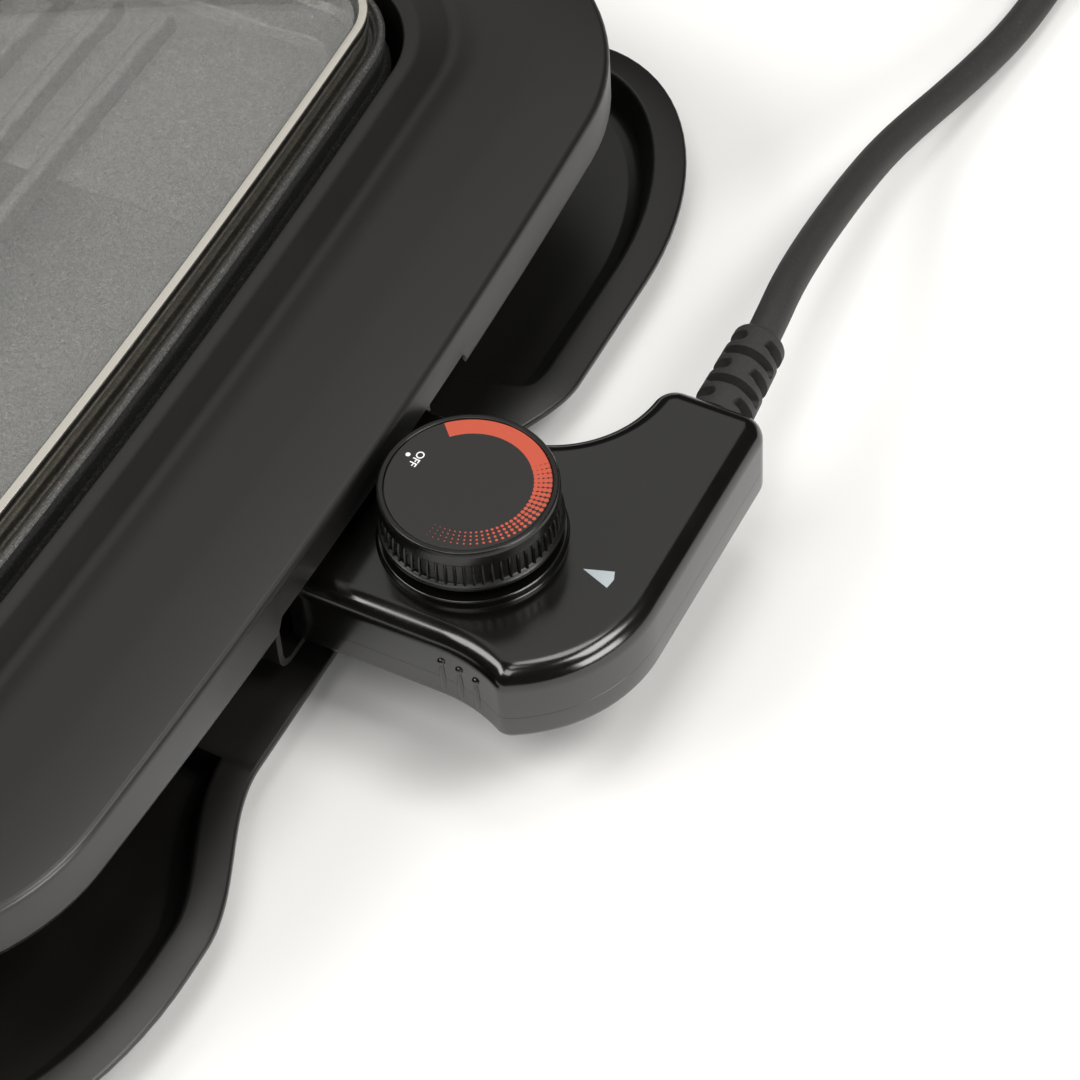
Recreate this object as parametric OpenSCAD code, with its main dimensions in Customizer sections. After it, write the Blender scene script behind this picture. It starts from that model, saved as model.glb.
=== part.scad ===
// Electric indoor grill: a lift-off housing and plate over a drip tray, a glass lid,
// and a plug-in heat controller with a turning dial and a mains cord.
// Millimetres. +Z is up and the feet stand on z = 0. +X points to the controller's end,
// +Y to the side where the cord leaves. The origin is under the middle of the whole grill.

/* [Housing] */
// Length of the housing, along X
body_len = 450; // [430:2:470]
// Width of the housing, along Y
body_wid = 336; // [326:2:350]
// Radius of the housing's outer corners
body_corner_r = 54; // [46:1:60]
// Height of the flange's top above the table
flange_z = 60; // [58:0.5:64]
// Width of the flange at the two ends
end_flange_w = 53.3; // [50:0.5:57]
// Width of the flange along the two sides
side_flange_w = 30; // [28:0.5:34]
// Radius of the corners of the opening for the plate
opening_r = 26; // [22:1:30]
// Depth of the skirt below the flange's top
skirt_h = 15; // [13:0.5:17]
// How far the ends bow outwards
end_bow = 6.7; // [4:0.1:8]
// How far the long sides bow outwards
side_bow = 3; // [1:0.1:5]
// Wall of the housing
housing_wall = 2.4; // [2:0.1:2.8]

/* [Drip tray] */
// How far the tray's rim reaches past the housing all round
tray_overhang = 11.5; // [9:0.5:14]
// Width of the tray's flat rim
tray_rim_w = 8.6; // [7:0.2:10]
// Depth of the tray from its rim to its floor
tray_depth = 9; // [8:0.5:11]
// Thickness of the tray's floor
tray_floor_t = 2.5; // [2:0.1:3]
// Length of the tray's corners, measured along X
tray_corner_x = 46; // [40:1:56]
// Length of the tray's corners, measured along Y
tray_corner_y = 70; // [60:1:78]
// How far the rim steps in under the controller
notch_depth = 13.4; // [11:0.2:15]
// Half the width of the flat landing under the controller
landing_half = 56; // [52:1:60]
// Height of the rubber feet
foot_h = 2.5; // [2:0.5:4]
// Diameter of the rubber feet
foot_d = 18; // [14:1:22]

/* [Grill plate] */
// Gap between the plate and the housing's opening
plate_gap = 2.7; // [2:0.1:3.4]
// Depth of the cooking surface below the plate's crest
plate_depth = 12.5; // [11.5:0.5:14]
// Thickness of the plate's floor
plate_t = 4; // [3.5:0.1:4.5]
// Number of ridges on the cooking surface
ridge_count = 15; // [9:2:15]
// Distance between ridges
ridge_pitch = 15; // [13:0.5:16]
// Height of a ridge
ridge_h = 4; // [2.5:0.5:5]
// Width of a drain slot
slot_w = 5; // [4:0.5:6]

/* [Heating element] */
// Diameter of the element's tube
element_d = 6.5; // [6:0.1:7]
// Half the distance between the element's two long runs
element_half = 88; // [80:1:94]
// Distance between the two terminal pins
pin_pitch = 26; // [24:1:28]
// Diameter of a terminal pin
pin_d = 4.8; // [4.4:0.1:5]

/* [Lid] */
// Height of the glass dome above its own edge
lid_rise = 16; // [10:1:24]
// Thickness of the glass
glass_t = 4; // [3.2:0.1:4.4]
// Height of the lid's metal rim
lid_rim_h = 10.5; // [9:0.5:13]
// Diameter of the lid's knob
lid_knob_d = 44; // [38:1:52]

/* [Controller] */
// Height of the controller's casing
control_h = 22; // [20:0.5:24]
// Height of its lower shell
lower_shell_h = 8; // [7:0.5:9]
// Rounding along its top edge
control_edge_r = 5.2; // [3.8:0.1:5.5]
// Half the width of its neck
neck_half = 28.8; // [26.8:0.2:30]
// Reach of its neck from the dial's axis towards the grill
neck_reach = 31; // [29:0.5:33]
// Reach of its outer wall from the dial's axis
control_reach = 45; // [43:0.5:47]
// Reach of its arm from the dial's axis to the face where the cord leaves
arm_reach = 57.5; // [54:0.5:60]
// Distance from the dial's axis to the inner side of its arm
arm_inner = 18; // [16:0.5:20]
// Distance between the dial's axis and the housing's edge
dial_gap = 23.5; // [23:0.5:27]
// Wall of the controller's casing
control_wall = 2.4; // [2:0.1:2.8]
// Diameter of the temperature probe
probe_d = 6; // [5:0.1:6.4]
// Length of the probe in front of the controller's nose
probe_len = 70; // [60:1:76]

/* [Dial] */
// Diameter of the dial's top
dial_d = 40; // [38:0.5:42]
// Height of the dial
dial_h = 12; // [10:0.5:14]
// Diameter of the printed disc in the dial's top
label_d = 36.7; // [34:0.1:37]
// Diameter of the dial's spindle
spindle_d = 6; // [5:0.1:7]
// Number of grip ribs round the dial
dial_ribs = 60; // [40:1:72]

/* [Cord] */
// Diameter of the cord
cord_d = 7.2;
// Mean radius of the stored coil
coil_r = 40;

/* [Hidden] */
$fn = 64;

moulding = "#1d1d1c";
coating = "#2c2c2b";
steel = "#b9b8b4";
rubber = "#171717";

seat_gap = 0.3;    // rest clearance between pieces that lift or slide apart
fit_gap = 0.05;    // radial running clearance of the dial's spindle
slide_gap = 0.1;   // radial clearance of the probe and the contacts
eps = 0.01;

// Heights, from the flange downwards and from the table upwards
skirt_z = flange_z - skirt_h;
lip_z = flange_z - 3.5;
opening_skirt_z = flange_z - 10;
crest_z = flange_z - 1.5;
ledge_z = crest_z - 3.5;
cook_z = crest_z - plate_depth;
plate_under_z = cook_z - plate_t;
element_z = plate_under_z - element_d / 2 - 0.25;
axis_z = element_z;
control_top_z = axis_z + 6.5;
control_low_z = control_top_z - control_h;
parting_z = control_low_z + lower_shell_h;
cord_z = 34;
boss_h = 2;
dial_low_z = control_top_z + 5;
apron_z = axis_z - 10.5;
guard_low_z = control_low_z - 4;
tray_floor_z = foot_h + tray_floor_t;
tray_rim_z = tray_floor_z + tray_depth;

// Half sizes of the outlines
body_a = body_len / 2;
body_b = body_wid / 2;
opening_a = body_a - end_flange_w;
opening_b = body_b - side_flange_w;
tray_a = body_a + tray_overhang;
tray_b = body_b + tray_overhang;
plate_a = opening_a - plate_gap;
plate_b = opening_b - plate_gap;
plate_r = opening_r - plate_gap;
inner_end_bow = end_bow * 0.6;
inner_side_bow = side_bow * 0.6;
rim_inset = 5.2;
glass_inset = rim_inset + 2.3;
glass_border = 3;
foot_inset_x = 70;
foot_inset_y = 52;

// Places along X, from the housing's middle
dial_x = body_a + dial_gap;
body_x = -(dial_x + control_reach - tray_a) / 2;
nose_front_x = dial_x - neck_reach - 15;
probe_tip_x = nose_front_x - probe_len;
boss_front_x = opening_a + 3.3;
guard_mouth_x = dial_x - neck_reach + 0.2;
element_front_x = boss_front_x - 37;
element_back_x = 28 - plate_a;

module at_body() translate([body_x, 0, 0]) children();
module at_dial() translate([body_x + dial_x, 0, 0]) children();

function lerp(a, b, t) = a + (b - a) * t;
function smooth(t) = let (u = min(1, max(0, t))) u * u * (3 - 2 * u);
function arc(c, r, from, to, n) =
    [for (k = [0:n]) let (w = lerp(from, to, k / n)) [c.x + r * cos(w), c.y + r * sin(w)]];
function at_z(loop, z) = [for (p = loop) [p.x, p.y, z]];

// Rounded rectangle of half sizes a and b, anticlockwise from its +X +Y corner. Its corners
// are arcs of radius r, or elliptic ones of the two half sizes in a list r. sides gives the
// number of steps along the +Y, -X, -Y and +X sides.
function round_rect(a, b, r, sides = [7, 9, 7, 9], n = 8) =
    let (rx = is_list(r) ? r.x : r, ry = is_list(r) ? r.y : r,
        cx = [1, -1, -1, 1] * (a - rx), cy = [1, 1, -1, -1] * (b - ry))
    [for (q = [0:3]) let (
        corner = [for (k = [0:n]) let (w = 90 * (q + k / n)) [cx[q] + rx * cos(w), cy[q] + ry * sin(w)]],
        w = (q + 1) % 4,
        next = [cx[w] + rx * cos(90 * w), cy[w] + ry * sin(90 * w)])
        each concat(corner, [for (m = [1:sides[q] - 1]) lerp(corner[n], next, m / sides[q])])];

// Draws the corners in a little, so that the straight sides bow outwards.
function bow(loop, a, b, ends, flanks) =
    [for (p = loop) [p.x * (1 - ends / a * pow(p.y / b, 2)), p.y * (1 - flanks / b * pow(p.x / a, 2))]];

function edge_normal(p, q) = let (e = q - p) [e.y, -e.x] / norm(e);

// Moves each point of an anticlockwise loop inwards by d, or by its own entry of a list d.
function inset(loop, d) = let (n = len(loop))
    [for (i = [0:n - 1]) let (
        before = edge_normal(loop[(i + n - 1) % n], loop[i]),
        after = edge_normal(loop[i], loop[(i + 1) % n]),
        step = is_list(d) ? d[i] : d)
        loop[i] - (before + after) / (1 + before * after) * step];

// Skin over rings of equal length, each anticlockwise from above, from the lowest outer ring
// up, over and down inside. A closed skin joins its last ring to its first. The ends of an
// open one are flat, and fanned from their middles where an outline has long straight sides.
module loft(rings, closed = false, fan = false) {
    n = len(rings[0]);
    wrap = len(rings);
    last = wrap - (closed ? 1 : 2);
    top = (wrap - 1) * n;
    hub = wrap * n;
    function middle(ring) = [for (p = ring) 1] * ring / n;
    ends = closed ? [] : !fan ? [[for (i = [0:n - 1]) i], [for (i = [n - 1:-1:0]) top + i]]
        : [for (i = [0:n - 1]) let (j = (i + 1) % n) each [[i, j, hub], [top + j, top + i, hub + 1]]];
    polyhedron(
        points = concat([for (ring = rings) each ring],
            fan ? [middle(rings[0]), middle(rings[wrap - 1])] : []),
        faces = concat(ends, [for (k = [0:last], i = [0:n - 1]) let (up = (k + 1) % wrap, j = (i + 1) % n)
            each [[k * n + i, up * n + i, up * n + j], [k * n + i, up * n + j, k * n + j]]]));
}

// Screws, each as head diameter, head height, shank diameter and shank length
guard_screw = [5.6, 2, 2.5, 6];
plate_screw = [7, 2.2, 3.2, 6.6];
casing_screw = [5.8, 1.5, 2.5, 9];
module bolt(sizes) {
    cylinder(d = sizes[0], h = sizes[1]);
    translate([0, 0, sizes[1] - eps]) cylinder(d = sizes[2], h = sizes[3]);
}

// Drip tray --------------------------------------------------------------------------------

tray_base = round_rect(tray_a, tray_b, [tray_corner_x, tray_corner_y], [7, 9, 7, 44]);
// How far the notch is open at y: eased in slowly on the grip side and quickly on the cord side.
function notch(y) = y < 0
    ? 1 - smooth((-y - landing_half) / 46)
    : 1 - smooth((y - landing_half + 20) / 37);
tray_loop = [for (p = tray_base) p.x > 0 ? [p.x - notch_depth * notch(p.y), p.y] : p];
landing_reach = 20;
landing = [for (p = tray_base) p.x > tray_a - 1 && p.y > -landing_half - 1
    ? landing_reach * (1 - smooth((p.y - landing_half + 12) / 22)) : 0];
leg_x = opening_a + 16;
leg_y = body_b - 68;
leg_d = 14;
leg_bore_d = 9;
function tray_ring(d, z, on_landing = false) =
    at_z(inset(tray_loop, [for (extra = landing) d + (on_landing ? extra : 0)]), z);

module drip_tray() {
    hollow_x = tray_a - notch_depth - tray_rim_w - landing_reach + 3.5;
    color(moulding) at_body() difference() {
        union() {
            loft(fan = true, rings = [tray_ring(12, foot_h), tray_ring(1.2, tray_rim_z - 2.4),
                tray_ring(0, tray_rim_z - 1.6), tray_ring(0, tray_rim_z - 0.5), tray_ring(0.6, tray_rim_z),
                tray_ring(tray_rim_w - 0.8, tray_rim_z, true),
                tray_ring(tray_rim_w, tray_rim_z - 0.8, true),
                tray_ring(tray_rim_w + 3, tray_floor_z + 1.4, true),
                tray_ring(tray_rim_w + 5, tray_floor_z, true)]);
            for (x = [-leg_x, leg_x], y = [-leg_y, leg_y]) translate([x, y, tray_floor_z - 1]) {
                cylinder(d = leg_d + 4, h = 3);
                cylinder(d = leg_bore_d - 1, h = 8);
            }
        }
        translate([hollow_x, 6 - landing_half, foot_h - 1])
            cube([12, 2 * landing_half - 22, tray_depth + 1]);
    }
}

module tray_feet() color(rubber) at_body()
    for (x = [-1, 1], y = [-1, 1])
        translate([x * (tray_a - foot_inset_x), y * (tray_b - foot_inset_y), 0])
            cylinder(d1 = foot_d - 2, d2 = foot_d, h = foot_h);

// Housing ----------------------------------------------------------------------------------

// Ring of the housing: s = 0 on the outer outline, 1 on the plate's opening, d outwards of it.
function body_loop(d) =
    bow(round_rect(body_a + d, body_b + d, body_corner_r + d), body_a, body_b, end_bow, side_bow);
function opening_loop(d) = bow(round_rect(opening_a + d, opening_b + d, opening_r + d),
    opening_a, opening_b, inner_end_bow, inner_side_bow);
function body_ring(s, d, z) = let (outer = body_loop(d), inner = opening_loop(d))
    at_z([for (i = [0:len(outer) - 1]) lerp(outer[i], inner[i], s)], z);

guard_half = 36;
skirt_opening_half = 43.5;
guard_ear_y = guard_half + 6;
guard_ear_x = body_a - 22;
guard_ear_z = flange_z - 7;
leg_low_z = tray_floor_z + 2 + seat_gap;
shelf_x = 120;
shelf_z = plate_under_z - 1.8;

module housing() color(moulding) at_body() {
    t = housing_wall;
    difference() {
        loft(closed = true, rings = [
            body_ring(0, -0.8, skirt_z), body_ring(0, 0, skirt_z + 2), body_ring(0, 0, flange_z - 1.8),
            body_ring(0, -0.6, flange_z - 0.5), body_ring(0, -2, flange_z),
            body_ring(0.35, 0, flange_z + 0.6), body_ring(0.74, 0, flange_z),
            body_ring(0.79, 0, flange_z - 1.2),
            body_ring(0.93, 0, lip_z - 1), body_ring(1, 2, lip_z - 0.9), body_ring(1, 1.7, lip_z),
            body_ring(1, 0.2, lip_z), body_ring(1, 0, lip_z - 0.4),
            body_ring(1, 0, apron_z), body_ring(1, t, apron_z), body_ring(1, t, lip_z - t - 1),
            body_ring(0.93, 0, lip_z - t - 1), body_ring(0.74, 0, flange_z - t - 0.8),
            body_ring(0.35, 0, flange_z + 0.4 - t), body_ring(0, -t - 0.6, flange_z - t),
            body_ring(0, -t, skirt_z)]);
        // skirt raised over the controller, and the apron's gateway for the terminals
        translate([body_a - 8, -skirt_opening_half, skirt_z - 1])
            cube([20, 2 * skirt_opening_half, opening_skirt_z - skirt_z + 1]);
        translate([opening_a - 3, -24, apron_z - 1]) cube([12, 48, plate_under_z + 4 - apron_z]);
    }
    for (x = [-leg_x, leg_x], y = [-leg_y, leg_y]) translate([x, y, 0]) difference() {
        translate([0, 0, leg_low_z]) cylinder(d = leg_d, h = flange_z - 2.6 - leg_low_z);
        translate([0, 0, tray_floor_z]) cylinder(d = leg_bore_d, h = 12);
    }
    for (y = [-1, 1]) translate([guard_ear_x, y * guard_ear_y, guard_ear_z]) difference() {
        cylinder(d = 8, h = flange_z - 1.2 - guard_ear_z);
        translate([0, 0, -1]) cylinder(d = 2.6, h = 5);
    }
    for (x = [-1, 1], y = [-1, 1]) translate([x * shelf_x, y * (opening_b - 4), shelf_z - 3]) difference() {
        translate([-8, -8, 0]) cube([16, 16, 3]);
        translate([0, -y * 3, -1]) cylinder(d = 4.4, h = 5);
    }
}

// U-shaped tunnel that stands round the terminals and guides the controller's neck in.
module terminal_guard() color(moulding) at_body() {
    t = 1.8;
    r = 5;
    top = guard_ear_z;
    guard_len = guard_mouth_x - boss_front_x - 2;
    outer = concat(arc([-guard_half + r, guard_low_z + r], r, 180, 270, 6),
        arc([guard_half - r, guard_low_z + r], r, 270, 360, 6), [[guard_half, top], [-guard_half, top]]);
    inner = concat(arc([-guard_half + r, guard_low_z + r], r - t, 180, 270, 6),
        arc([guard_half - r, guard_low_z + r], r - t, 270, 360, 6),
        [[guard_half - t, top + 1], [t - guard_half, top + 1]]);
    translate([guard_mouth_x - guard_len, 0, 0]) rotate([90, 0, 90]) linear_extrude(guard_len)
        difference() {
            polygon(outer);
            polygon(inner);
        }
    for (y = [-1, 1]) difference() {
        translate([guard_ear_x - 6, y < 0 ? -guard_ear_y - 5 : guard_half - 1, top - 2.4])
            cube([12, 12, 2.4]);
        translate([guard_ear_x, y * guard_ear_y, top - 3]) cylinder(d = 3.2, h = 4);
    }
}

module guard_screws() color(steel) at_body()
    for (y = [-1, 1]) translate([guard_ear_x, y * guard_ear_y, guard_ear_z - 4.4]) bolt(guard_screw);

// Grill plate ------------------------------------------------------------------------------

function plate_ring(d, z) = let (r = plate_r - min(d, 12)) at_z(
    bow(round_rect(plate_a - d, plate_b - d, r), plate_a, plate_b, inner_end_bow, inner_side_bow), z);
ridge_field = ridge_pitch * (ridge_count - 1) / 2;
ridge_half = plate_b - 24;
slot_half = 52;
slot_rows = [-9, -5, -1, 1, 5, 9];
gate_half = 20;
probe_gap_x = 3;

module grill_plate() color(coating) at_body() difference() {
    union() {
        loft([plate_ring(3, plate_under_z), plate_ring(0.8, plate_under_z + 7), plate_ring(0, crest_z - 2),
            plate_ring(0.5, crest_z - 0.6), plate_ring(1.6, crest_z), plate_ring(2.5, crest_z - 0.4),
            plate_ring(3.2, crest_z - 1.4), plate_ring(3.9, crest_z - 1), plate_ring(4.5, crest_z - 1.4),
            plate_ring(4.8, ledge_z), plate_ring(9.2, ledge_z), plate_ring(11, ledge_z - 1.6),
            plate_ring(15, cook_z + 1), plate_ring(18, cook_z)]);
        for (k = [0:ridge_count - 1]) translate([k * ridge_pitch - ridge_field, ridge_half, cook_z - 0.5])
            rotate([90, 0, 0]) linear_extrude(2 * ridge_half)
                polygon([[-3, 0], [3, 0], [1.6, ridge_h], [0.9, ridge_h + 0.5],
                    [-0.9, ridge_h + 0.5], [-1.6, ridge_h]]);
        // cast block that carries the terminals, and the tunnel for the probe
        translate([boss_front_x - 23, -gate_half, axis_z - 6.5])
            cube([23, 2 * gate_half, plate_under_z + 1 - axis_z + 6.5]);
        translate([probe_tip_x - probe_gap_x - 3, -6, axis_z - 6])
            cube([boss_front_x - probe_tip_x, 12, 10]);
        for (x = [-1, 1], y = [-1, 1]) translate([x * shelf_x, y * (opening_b - 7), plate_under_z - 1.5])
            cylinder(d = 9, h = 5);
    }
    for (k = slot_rows) translate([k * ridge_pitch / 2 - slot_w / 2, -slot_half, plate_under_z - 1])
        cube([slot_w, 2 * slot_half, plate_t + 2]);
    translate([probe_tip_x - probe_gap_x, 0, axis_z]) rotate([0, 90, 0])
        cylinder(d = probe_d + 2 * slide_gap, h = boss_front_x - probe_tip_x + probe_gap_x + 1);
    for (y = [-1, 1]) translate([boss_front_x - 24, y * pin_pitch / 2, axis_z]) rotate([0, 90, 0])
        cylinder(d = element_d + 0.2, h = 25);
    for (x = [-1, 1], y = [-1, 1]) translate([x * shelf_x, y * (opening_b - 7), plate_under_z - 2])
        cylinder(d = 3.4, h = 5);
}

module plate_screws() color(steel) at_body()
    for (x = [-1, 1], y = [-1, 1]) translate([x * shelf_x, y * (opening_b - 7), shelf_z - 5.2])
        bolt(plate_screw);

// Heating element --------------------------------------------------------------------------

// Quarter bend of the tube about c, from angle a to a + 90.
module bend(c, r, a) translate([c.x, c.y, element_z]) rotate([0, 0, a])
    rotate_extrude(angle = 90) translate([r, 0]) circle(d = element_d);
module run_x(x0, x1, y)
    translate([x0, y, element_z]) rotate([0, 90, 0]) cylinder(d = element_d, h = x1 - x0);
module run_y(y0, y1, x)
    translate([x, y0, element_z]) rotate([-90, 0, 0]) cylinder(d = element_d, h = y1 - y0);

bend_small = 12;
bend_large = 22;

module heating_element() color("#4a4a48") at_body() {
    pin_y = pin_pitch / 2;
    for (side = [0, 1]) mirror([0, side, 0]) {
        run_x(element_front_x + bend_small, boss_front_x - 12, pin_y);
        bend([element_front_x + bend_small, pin_y + bend_small], bend_small, 180);
        run_y(pin_y + bend_small, element_half - bend_large, element_front_x);
        bend([element_front_x - bend_large, element_half - bend_large], bend_large, 0);
        run_x(element_back_x + bend_large, element_front_x - bend_large, element_half);
        bend([element_back_x + bend_large, element_half - bend_large], bend_large, 90);
        run_y(0, element_half - bend_large, element_back_x);
    }
}

clip_x = [-70, 70];
clip_t = 1.2;
module element_clips() color(steel) at_body() {
    r = element_d / 2 + 0.1;
    for (x = clip_x, y = [-element_half, element_half]) translate([x - 6, y, element_z]) rotate([90, 0, 90])
        linear_extrude(12) difference() {
            union() {
                circle(r = r + clip_t);
                translate([-r - 9, plate_under_z - element_z - clip_t - 0.1]) square([2 * r + 18, clip_t]);
            }
            circle(r = r);
            translate([-r, 0]) square([2 * r, 2 * r]);
            translate([-2 * r, plate_under_z - element_z - 0.1]) square([4 * r, 3 * r]);
        }
}
module clip_screws() color(steel) at_body()
    for (x = clip_x, y = [-element_half, element_half], side = [-1, 1])
        translate([x, y + side * (element_d / 2 + 5.5), plate_under_z - clip_t - 2.1])
            cylinder(d = 5, h = 1.9);

module terminal_pins() color(steel) at_body()
    for (y = [-1, 1]) translate([boss_front_x - 12 + 0.2, y * pin_pitch / 2, axis_z]) rotate([0, 90, 0]) {
        cylinder(d = pin_d, h = nose_front_x - boss_front_x + 22);
        translate([0, 0, nose_front_x - boss_front_x + 22 - eps])
            cylinder(d1 = pin_d, d2 = pin_d - 2, h = 1.5);
    }

module pin_insulators() color("#e6e1d6") at_body()
    for (y = [-1, 1]) translate([boss_front_x - 7, y * pin_pitch / 2, axis_z]) rotate([0, 90, 0])
        difference() {
            union() {
                cylinder(d = element_d, h = 8);
                translate([0, 0, 7.1]) cylinder(d = 10, h = 2.5);
            }
            translate([0, 0, -1]) cylinder(d = pin_d + 0.1, h = 12);
        }

// Lid --------------------------------------------------------------------------------------

lid_seat_z = ledge_z + seat_gap;
lid_rim_z = lid_seat_z + lid_rim_h;
glass_top_z = lid_rim_z - 0.8;
function lid_loop(d) =
    bow(round_rect(plate_a - d, plate_b - d, plate_r - d), plate_a, plate_b, inner_end_bow, inner_side_bow);
dome_steps = [0.12, 0.35, 0.6, 0.8, 0.93, 1];
function dome_z(s) = glass_top_z + lid_rise * (1 - pow(s, 2.4));
function dome_ring(s, drop) = at_z(lid_loop(glass_inset + glass_border) * s, dome_z(s) - drop);

knob_z = dome_z(dome_steps[0]);
knob_screw_d = 5;
seat_t = 1.2;
vent_x = 62;
vent_z = dome_z(vent_x / (plate_a - glass_inset - glass_border));
vent_d = 8;

module lid_glass() color([0.75, 0.8, 0.8, 0.35]) at_body() difference() {
    loft(concat([for (s = dome_steps) dome_ring(s, glass_t)],
        [for (drop = [glass_t, 0]) at_z(lid_loop(glass_inset), glass_top_z - drop)],
        [for (k = [len(dome_steps) - 1:-1:0]) dome_ring(dome_steps[k], 0)]));
    translate([0, 0, knob_z - glass_t - 1]) cylinder(d = knob_screw_d + 1, h = glass_t + 2);
    translate([vent_x, 0, vent_z - 2 * glass_t]) cylinder(d = vent_d, h = 3 * glass_t);
}

// Pressed metal band that is crimped over and under the glass's edge.
module lid_rim() {
    t = 0.8;
    low = glass_top_z - glass_t;
    function band(d, z) = at_z(lid_loop(rim_inset + d), z);
    color(steel) at_body() loft(closed = true, rings = [
        band(0, lid_seat_z), band(0.2, lid_seat_z + lid_rim_h / 2), band(0.8, lid_rim_z - 1.8),
        band(1.6, lid_rim_z - 0.5), band(2.6, lid_rim_z), band(4.6, lid_rim_z), band(5, lid_rim_z - 0.4),
        band(4.8, glass_top_z), band(2.1, glass_top_z), band(2.1, low), band(3.9, low),
        band(3.9, low - t), band(0.2 + t, low - t), band(t, lid_seat_z)]);
}

module lid_knob() color(moulding) at_body() translate([0, 0, knob_z + seat_t]) {
    r = lid_knob_d / 2;
    rotate_extrude() difference() {
        polygon(concat([[0, 0], [11, 0], [10, 3], [9.4, 8], [11, 11.5]],
            arc([r - 4, 17], 4, -60, 60, 8), arc([0, 21 - 60], 63.5, 74, 90, 6)));
        translate([-1, -1]) square([knob_screw_d / 2 + 1.05, 14]);
    }
}

module knob_seat() color(steel) at_body() translate([0, 0, knob_z]) difference() {
    cylinder(r = 14, h = seat_t);
    translate([0, 0, -1]) cylinder(d = knob_screw_d + 0.4, h = seat_t + 2);
}

module knob_screw() color(steel) at_body()
    translate([0, 0, knob_z - glass_t - 2.4]) bolt([10, 2.4, knob_screw_d, glass_t + seat_t + 12]);

module vent_eyelet() color(steel) at_body() translate([vent_x, 0, vent_z + 0.5]) rotate_extrude()
    polygon([[2.6, -glass_t - 2], [3.4, -glass_t - 2], [3.4, 0.3], [5.4, 0.3], [5.2, 0.9], [3.4, 1.3],
        [2.6, 0.8]]);

// Controller -------------------------------------------------------------------------------

corner_n = 23.4;
grip_start = 6;
grip_r = 35;
bay_r = 26;
grip_turn = asin((corner_n - grip_start) / grip_r);
corner_t = neck_half + grip_r * (1 - cos(grip_turn));
corner_r = (pow(control_reach - corner_n, 2) + pow(corner_t, 2)) / (2 * (control_reach - corner_n));
grip_c = [grip_start, -neck_half - grip_r];
corner_c = [control_reach - corner_r, 0];
bay_c = [arm_inner - bay_r, neck_half + bay_r];
end_r = 6;
end_t = arm_reach - end_r;
bay_turn = asin((end_t - bay_c.y) / (bay_r + end_r));
bay_end_n = bay_c.x + (bay_r + end_r) * cos(bay_turn);

// Plan of the casing about the dial's axis, moved in by d: neck, grip hollow, large corner,
// the arm's two rounded corners and the bay. The grip hollow and the large corner meet in a
// sharp edge.
function control_at(d) = let (
    grip = grip_r + d,
    corner = corner_r - d,
    bay = bay_r + d,
    apart = norm(corner_c - grip_c),
    across = atan2(corner_c.y - grip_c.y, corner_c.x - grip_c.x),
    grip_end = across - acos((pow(apart, 2) + pow(grip, 2) - pow(corner, 2)) / (2 * apart * grip)),
    corner_start = across - 180
        + acos((pow(apart, 2) + pow(corner, 2) - pow(grip, 2)) / (2 * apart * corner)))
    concat(
        [[d - neck_reach, d - neck_half]],
        arc(grip_c, grip, 90, grip_end, 6),
        [for (k = [1:12]) arc(corner_c, corner, corner_start, 0, 12)[k]],
        arc([control_reach - end_r, end_t], end_r - d, 0, 90, 4),
        arc([bay_end_n, end_t], end_r - d, 90, 180 + bay_turn, 4),
        [for (k = [1:10]) arc(bay_c, bay, bay_turn, -90, 10)[k]],
        [[d - neck_reach, neck_half - d]]);
module prism(loop, low, high) translate([0, 0, low]) linear_extrude(high - low) polygon(loop);

nose_half = 20;
nose_low_z = axis_z - 6;
nose_high_z = axis_z + 4.5;
relief_n = 29.5;
relief_bore_r = 4.6;
post_places = [[-19, neck_half - 6.2], [-19, 6.2 - neck_half], [33, 40]];
post_low_z = control_low_z + control_wall + 0.1;
module relief_bore() translate([relief_n, arm_reach - 4, cord_z]) rotate([-90, 0, 0])
    cylinder(r = relief_bore_r, h = 6);
module nose_gate() translate([-neck_reach - 1, -nose_half - 0.1, nose_low_z - 0.1])
    cube([control_wall + 7, 2 * nose_half + 0.2, nose_high_z - nose_low_z + 0.2]);

// Hub round the spindle's bore, with the stepped boss that the dial turns over.
module dial_hub() rotate_extrude() polygon([
    [spindle_d / 2 + fit_gap, control_top_z - control_wall - 2],
    [10, control_top_z - control_wall - 2], [10, control_top_z - 0.6],
    [dial_d / 2 + 1.5, control_top_z - 0.6], [dial_d / 2 + 1.5, control_top_z + boss_h / 2],
    [dial_d / 2 + 0.4, control_top_z + boss_h / 2], [dial_d / 2 + 0.4, control_top_z + boss_h],
    [spindle_d / 2 + fit_gap, control_top_z + boss_h]]);

module controller_top_shell() color(moulding) at_dial() {
    f = control_edge_r;
    lid_low = control_top_z - control_wall;
    difference() {
        union() {
            loft(closed = true, rings = concat([at_z(control_at(0), parting_z)],
                [for (k = [0:5]) at_z(control_at(f * (1 - cos(18 * k))),
                    control_top_z - f * (1 - sin(18 * k)))],
                [at_z(control_at(f), lid_low)],
                [for (z = [control_top_z - f, parting_z]) at_z(control_at(control_wall), z)]));
            prism(control_at(f), lid_low, control_top_z);
        }
        cylinder(r = 8, h = control_top_z + 5);
        relief_bore();
        nose_gate();
    }
    dial_hub();
    for (p = post_places) translate([p.x, p.y, post_low_z]) difference() {
        cylinder(d = 7, h = lid_low - post_low_z + 0.5);
        translate([0, 0, -1]) cylinder(d = 2.6, h = 11);
    }
}

module controller_bottom_shell() color(moulding) at_dial() difference() {
    prism(control_at(0), control_low_z, parting_z);
    prism(control_at(control_wall), control_low_z + control_wall, parting_z + 1);
    relief_bore();
    nose_gate();
    for (p = post_places) translate([p.x, p.y, control_low_z - 1]) {
        cylinder(d = 3.2, h = 10);
        cylinder(d = 6.4, h = 2.6);
    }
}

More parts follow.
